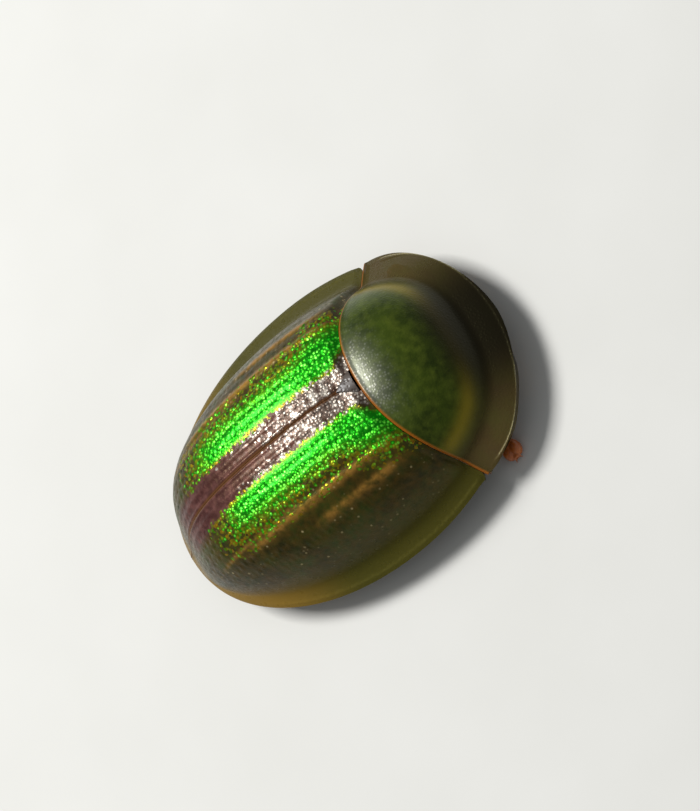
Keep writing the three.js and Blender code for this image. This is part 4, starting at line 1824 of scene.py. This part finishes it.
    def build(self, black: Material, eye: Material, mouth: Material, feeler: Material) -> None:
        """Make the head and all that it carries.

        Args:
            black: The skull's finish.
            eye: The eyes' finish.
            mouth: The mouthparts' finish.
            feeler: The feelers' finish.
        """
        skull = self.bench.ball("head_capsule", self.centre, self.radii, segments=self.skull_segments)
        self.bench.reshape(skull, self.skull)
        self.bench.finish(skull, black, "head", "head")
        dx, dy, dz = self.eye_place
        for side in Side:
            place = (side.value * (self.side + dx), self.centre[1] + dy, self.centre[2] + dz)
            name = f"compound_eye_{side.word}"
            ball = self.bench.ball(name, place, self.eye_radii, segments=self.eye_segments)
            self.bench.reshape(ball, partial(self.flatten_eye, side))
            self.bench.finish(ball, eye, "eyes", f"eye_{side.word}")
            path = self.bench.sweep(f"feeler_{side.word}", self.feeler_rings(side))
            self.bench.paint(path, {"tip": self.tip})
            self.bench.finish(path, feeler, "antennae", f"antenna_{side.word}")
        self.build_mouth(mouth)

    def build_mouth(self, material: Material) -> None:
        """Make the upper lip, jaws and palps as one piece.

        Args:
            material: Their finish.
        """
        mouth = Vector(self.mouth_place)
        lip = mouth + Vector(self.lip_place)
        parts = [self.bench.ball("lip", lip, self.lip_radii, segments=self.lip_segments)]
        for side in Side:
            jaw, root, tip = (
                mouth + Vector((side.value * x, y, z))
                for x, y, z in (self.jaw_place, self.palp_root, self.palp_tip)
            )
            parts.append(self.bench.ball("jaw", jaw, self.jaw_radii, segments=self.jaw_segments))
            thick, thin = self.palp_radii
            rings = [
                limb_ring(root.lerp(tip, t), tip - root, thick + (thin - thick) * t, self.palp_sides)
                for t in np.linspace(0, 1, self.palp_rings)
            ]
            parts.append(self.bench.sweep("palp", rings))
        piece = self.bench.weld("mouthparts_piece", parts, self.mouth_grain, self.mouth_rounds)
        self.bench.finish(piece, material, "mouthparts", "mouthparts")


@dataclass(frozen=True)
class LegPath:
    """Where a leg's joints lie: distance from the middle plane, and y."""

    hip: Double
    knee: Double
    ankle: Double
    toe: Double


LEG_PATHS = {
    Pair.FORE: LegPath((0.36, -1.52), (1.0, -1.42), (1.38, -1.84), (1.74, -1.64)),
    Pair.MID: LegPath((0.45, -0.45), (1.12, -0.68), (1.42, -0.1), (1.5, 0.36)),
    Pair.HIND: LegPath((0.5, 0.42), (1.12, 0.78), (1.3, 1.36), (1.2, 1.82)),
}
# The right fore foot reaches out beside the shield, where it can be seen.
REACHING = replace(LEG_PATHS[Pair.FORE], toe=(1.76, -1.88))


@dataclass(frozen=True)
class Pad:
    """One cushion under the foot."""

    along: float
    aside: float
    radii: Triple


@dataclass
class Leg:
    """One leg: hip and thigh, shin, and a padded foot with two claws."""

    bench: Workbench
    side: Side
    pair: Pair
    path: LegPath
    sides: int = 24
    hip_radii: Triple = (0.19, 0.22, 0.17)
    hip_z: float = 0.38
    thigh_rings: int = 18
    thigh_radius: float = 0.205
    thigh_root_radius: float = 0.12
    thigh_phase: Double = (0.12, 0.85)
    thigh_fullness: float = 0.8
    thigh_cap_start: float = 0.84
    thigh_cap_least: float = 0.03
    thigh_grain: float = 0.016
    knee_radius: float = 0.13
    knee_start: Fade = Fade(0.5, 0.8)
    knee_z: float = 0.33
    shin_rings: int = 30
    shin_radii: Double = (0.09, 0.125)
    shin_widening: float = 1.5
    shin_squash: float = 0.9
    shin_cap_share: float = 0.16
    shin_cap_least: float = 0.02
    shin_drop: float = 0.02
    shin_inset_share: float = 0.45
    shin_overlap: float = 0.05
    shin_levels: int = 1
    ankle_z: float = 0.17
    toe_height: float = 0.085
    pads: tuple[Pad, ...] = (
        Pad(0.15, 0.0, (0.09, 0.09, 0.095)),
        Pad(0.33, 0.0, (0.1, 0.11, 0.095)),
        Pad(0.56, 0.065, (0.13, 0.085, 0.095)),
        Pad(0.56, -0.065, (0.13, 0.085, 0.095)),
    )
    pad_segments: int = 20
    last_joint: Double = (0.5, 0.92)
    last_joint_radii: Double = (0.032, 0.05)
    last_joint_rings: int = 6
    last_joint_sides: int = 12
    claw_run: Double = (0.86, 1.0)
    claw_spread: Double = (0.012, 0.062)
    claw_heights: Double = (0.09, 0.03)
    claw_dip: float = 0.3
    claw_radius: float = 0.026
    claw_taper: float = 0.7
    claw_rings: int = 7
    claw_sides: int = 8
    foot_grain: float = 0.009
    foot_rounds: int = 3
    dark_root: Fade = Fade(0.05, 0.45)

    @property
    def tag(self) -> str:
        """The end of this leg's node names."""
        return f"{self.pair.value}_{self.side.word}"

    @property
    def run(self) -> Vector:
        """The way from the ankle to the toe, seen from above."""
        (start_x, start_y), (end_x, end_y) = self.path.ankle, self.path.toe
        return Vector((self.side.value * (end_x - start_x), end_y - start_y, 0))

    def at(self, place: Double, z: float) -> Vector:
        """A place on this leg's side."""
        return Vector((self.side.value * place[0], place[1], z))

    def on_foot(self, along: float, aside: float, z: float) -> Vector:
        """A place on the foot.

        Args:
            along: Share of the way from the ankle to the toe.
            aside: Distance to the side in millimetres.
            z: Height above the floor.

        Returns:
            The place in millimetres.
        """
        across = UP.cross(self.run).normalized()
        return self.at(self.path.ankle, z) + self.run * along + across * aside

    def thigh(self) -> Piece:
        """Make the hip ball and the spindle-shaped thigh.

        Returns:
            Both as one piece.
        """
        root, end = self.at(self.path.hip, self.hip_z), self.at(self.path.knee, self.knee_z)
        phase, turn = self.thigh_phase
        rings = []
        for t in np.linspace(0, 1, self.thigh_rings):
            bulge = math.sin(math.pi * (phase + turn * t)) ** self.thigh_fullness
            spindle = self.thigh_root_radius + (self.thigh_radius - self.thigh_root_radius) * bulge
            past = max(0, (t - self.thigh_cap_start) / (1 - self.thigh_cap_start))
            cap = math.sqrt(max(self.thigh_cap_least, 1 - past**2))
            radius = max(spindle, self.knee_radius * float(self.knee_start.rise(t))) * cap
            rings.append(limb_ring(root.lerp(end, t), end - root, radius, self.sides))
        parts = [self.bench.sweep("thigh", rings), self.bench.ball("hip", root, self.hip_radii)]
        return self.bench.weld(f"thigh_{self.tag}", parts, self.thigh_grain)

    def shin(self) -> Piece:
        """Make the shin, which widens towards the foot.

        Returns:
            The shin.
        """
        start = self.at(self.path.knee, self.knee_z - self.shin_drop)
        end = self.at(self.path.ankle, self.ankle_z)
        axis = (end - start).normalized()
        start = start + axis * (self.knee_radius * self.shin_inset_share)
        end = end + axis * self.shin_overlap
        thin, thick = self.shin_radii
        rings = []
        for t in np.linspace(0, 1, self.shin_rings):
            near = min(1.0, min(t, 1 - t) / self.shin_cap_share)
            cap = math.sqrt(max(self.shin_cap_least, 1 - (1 - near) ** 2))
            radius = (thin + (thick - thin) * t**self.shin_widening) * cap
            rings.append(limb_ring(start.lerp(end, t), axis, radius, self.sides, self.shin_squash))
        shin = self.bench.sweep(f"shin_{self.tag}", rings)
        self.bench.refine(shin, self.shin_levels)
        return shin

    def claw(self, sign: int) -> Piece:
        """Make one claw, curved outwards and down.

        Args:
            sign: The side of the foot that it stands on, 1 or -1.

        Returns:
            The claw.
        """
        ahead = self.run.normalized()
        near, far = self.claw_run
        high, low = self.claw_heights
        inside, outside = self.claw_spread
        rings = []
        for t in np.linspace(0, 1, self.claw_rings):
            aside = sign * (inside + (outside - inside) * t)
            centre = self.on_foot(near + (far - near) * t, aside, high + (low - high) * t * t)
            axis = Vector((ahead.x, ahead.y, -self.claw_dip * t))
            radius = self.claw_radius * (1 - self.claw_taper * t)
            rings.append(limb_ring(centre, axis, radius, self.claw_sides))
        return self.bench.sweep("claw", rings)

    def foot(self) -> Piece:
        """Make two small pads, a wide pad of two lobes, a slim last joint and two claws.

        Returns:
            All of them as one piece with a flat sole.
        """
        heading = math.atan2(self.run.y, self.run.x)
        parts = []
        for pad in self.pads:
            place = self.on_foot(pad.along, pad.aside, self.toe_height)
            parts.append(self.bench.ball("pad", place, pad.radii, heading, self.pad_segments))
        joint, wrist = (self.on_foot(along, 0, self.toe_height) for along in self.last_joint)
        thin, thick = self.last_joint_radii
        rings = [
            limb_ring(joint.lerp(wrist, t), wrist - joint, thin + (thick - thin) * t, self.last_joint_sides)
            for t in np.linspace(0, 1, self.last_joint_rings)
        ]
        parts.append(self.bench.sweep("joint", rings))
        parts.extend([self.claw(-1), self.claw(1)])
        foot = self.bench.weld(f"foot_{self.tag}", parts, self.foot_grain, self.foot_rounds)
        self.bench.reshape(foot, self.level)
        return foot

    def level(self, p: Array) -> Array:
        """Press the sole flat on the floor."""
        return np.stack([p[:, 0], p[:, 1], np.maximum(0.0, p[:, 2])], 1)

    def root(self, p: Array) -> Array:
        """The dark base of the leg."""
        return self.dark_root.fall(np.abs(p[:, 0]) - self.path.hip[0])

    def build(self, material: Material) -> None:
        """Make the leg's three pieces.

        Args:
            material: Their finish.
        """
        for piece, node in ((self.thigh(), "femur"), (self.shin(), "tibia"), (self.foot(), "tarsus")):
            self.bench.paint(piece, {"root": self.root})
            self.bench.finish(piece, material, "legs", f"{node}_{self.tag}")


@dataclass(frozen=True)
class Studio:
    """Camera, light and floor. Places are in millimetres and angles in degrees."""

    azimuth: float = 310.9
    elevation: float = 58.9
    roll: float = -75.9
    pixels_per_mm: float = 71.9
    origin_pixel: Double = (362.7, 439.7)
    frame: tuple[int, int] = (700, 811)
    distance: float = 150.0
    sensor: float = 36.0
    near_and_far: Double = (0.001, 10.0)
    light_direction: Triple = (0.39, 0.34, 0.86)
    light_distance: float = 90
    light_size: float = 34
    light_power: float = 0.1
    sky: str = "#e4e8ec"
    sky_strength: float = 0.34
    floor_size: float = 2000
    floor_dark: str = "#cdccc6"
    floor_light: str = "#d6d5d0"
    floor_grain: Mottling = Mottling(2.5, 3.0)
    floor_roughness: float = 0.8

    def axes(self) -> tuple[Vector, Vector, Vector]:
        """Work out the camera's directions.

        Returns:
            Its right, up and backward directions.
        """
        a, e, r = (math.radians(v) for v in (self.azimuth, self.elevation, self.roll))
        back = Vector((math.sin(a) * math.cos(e), -math.cos(a) * math.cos(e), math.sin(e)))
        level = UP.cross(back).normalized()
        steep = back.cross(level)
        right = level * math.cos(r) + steep * math.sin(r)
        up = steep * math.cos(r) - level * math.sin(r)
        return right, up, back

    def add_camera(self) -> None:
        """Set the camera so that the origin falls on its pixel at the photo's scale."""
        right, up, back = self.axes()
        middle_x, middle_y = self.frame[0] / 2, self.frame[1] / 2
        aim = right * ((middle_x - self.origin_pixel[0]) / self.pixels_per_mm)
        aim += up * ((self.origin_pixel[1] - middle_y) / self.pixels_per_mm)
        data = bpy.data.cameras.new("camera")
        data.sensor_width = self.sensor
        data.lens = self.sensor * self.distance / (self.frame[1] / self.pixels_per_mm)
        data.clip_start, data.clip_end = self.near_and_far
        camera = bpy.data.objects.new("camera", data)
        turn = Matrix((right, up, back)).transposed().to_4x4()
        camera.matrix_world = Matrix.Translation((aim + back * self.distance) * METRES) @ turn
        bpy.context.scene.collection.objects.link(camera)
        bpy.context.scene.camera = camera

    def add_light(self) -> None:
        """Add the soft square light that faces the beetle."""
        data = bpy.data.lights.new("key", "AREA")
        data.size = self.light_size * METRES
        data.energy = self.light_power
        light = bpy.data.objects.new("key", data)
        direction = Vector(self.light_direction).normalized()
        light.location = direction * self.light_distance * METRES
        light.rotation_euler = direction.to_track_quat("Z", "Y").to_euler()
        bpy.context.scene.collection.objects.link(light)

    def add_floor(self) -> None:
        """Add the floor of matt paper: pale, soft and a little uneven in tone."""
        bpy.ops.object.select_all(action="DESELECT")
        bpy.ops.mesh.primitive_plane_add(size=self.floor_size * METRES)
        floor = bpy.context.object
        floor.name = "floor"
        blank = Blank.named("matt_paper_floor")
        grain = add_node(blank.tree, "ShaderNodeTexNoise", self.floor_grain.at(blank.place)).outputs[0]
        tone = layered(blank.tree, hex_colour(self.floor_dark), [Layer(grain, hex_colour(self.floor_light))])
        feed(blank.tree, blank.shader, {"Base Color": tone, "Roughness": self.floor_roughness})
        floor.data.materials.append(blank.material)

    def build(self) -> None:
        """Make the whole studio."""
        scene = bpy.context.scene
        scene.view_settings.view_transform = "Standard"
        world = bpy.data.worlds.new("studio")
        scene.world = world
        world.use_nodes = True
        background = next(n for n in world.node_tree.nodes if n.type == "BACKGROUND")
        background.inputs["Color"].default_value = hex_colour(self.sky)
        background.inputs["Strength"].default_value = self.sky_strength
        self.add_camera()
        self.add_light()
        self.add_floor()


def main() -> None:
    """Build the beetle and its studio, and report each piece."""
    logging.basicConfig(level=logging.INFO, format="%(name)s %(message)s")
    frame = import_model()
    LOG.info("solids loaded: %d", len(frame["nodes"]))
    Studio().build()
    bench = Workbench()
    WingCases(bench).build(WingCaseFinish().build())
    black = BLACK.build()
    Shield(bench).build(ShieldFinish().build(), SCUTELLUM.build())
    Trunk(bench).build(black, ABDOMEN.build())
    Head(bench).build(black, EYE.build(), MOUTH.build(), FEELER.build())
    legs = LEG.build()
    for pair, path in LEG_PATHS.items():
        for side in Side:
            reaching = pair is Pair.FORE and side is Side.RIGHT
            Leg(bench, side, pair, REACHING if reaching else path).build(legs)
    LOG.info("pieces: %d", len(bench.pieces))


if __name__ == "__main__":
    main()
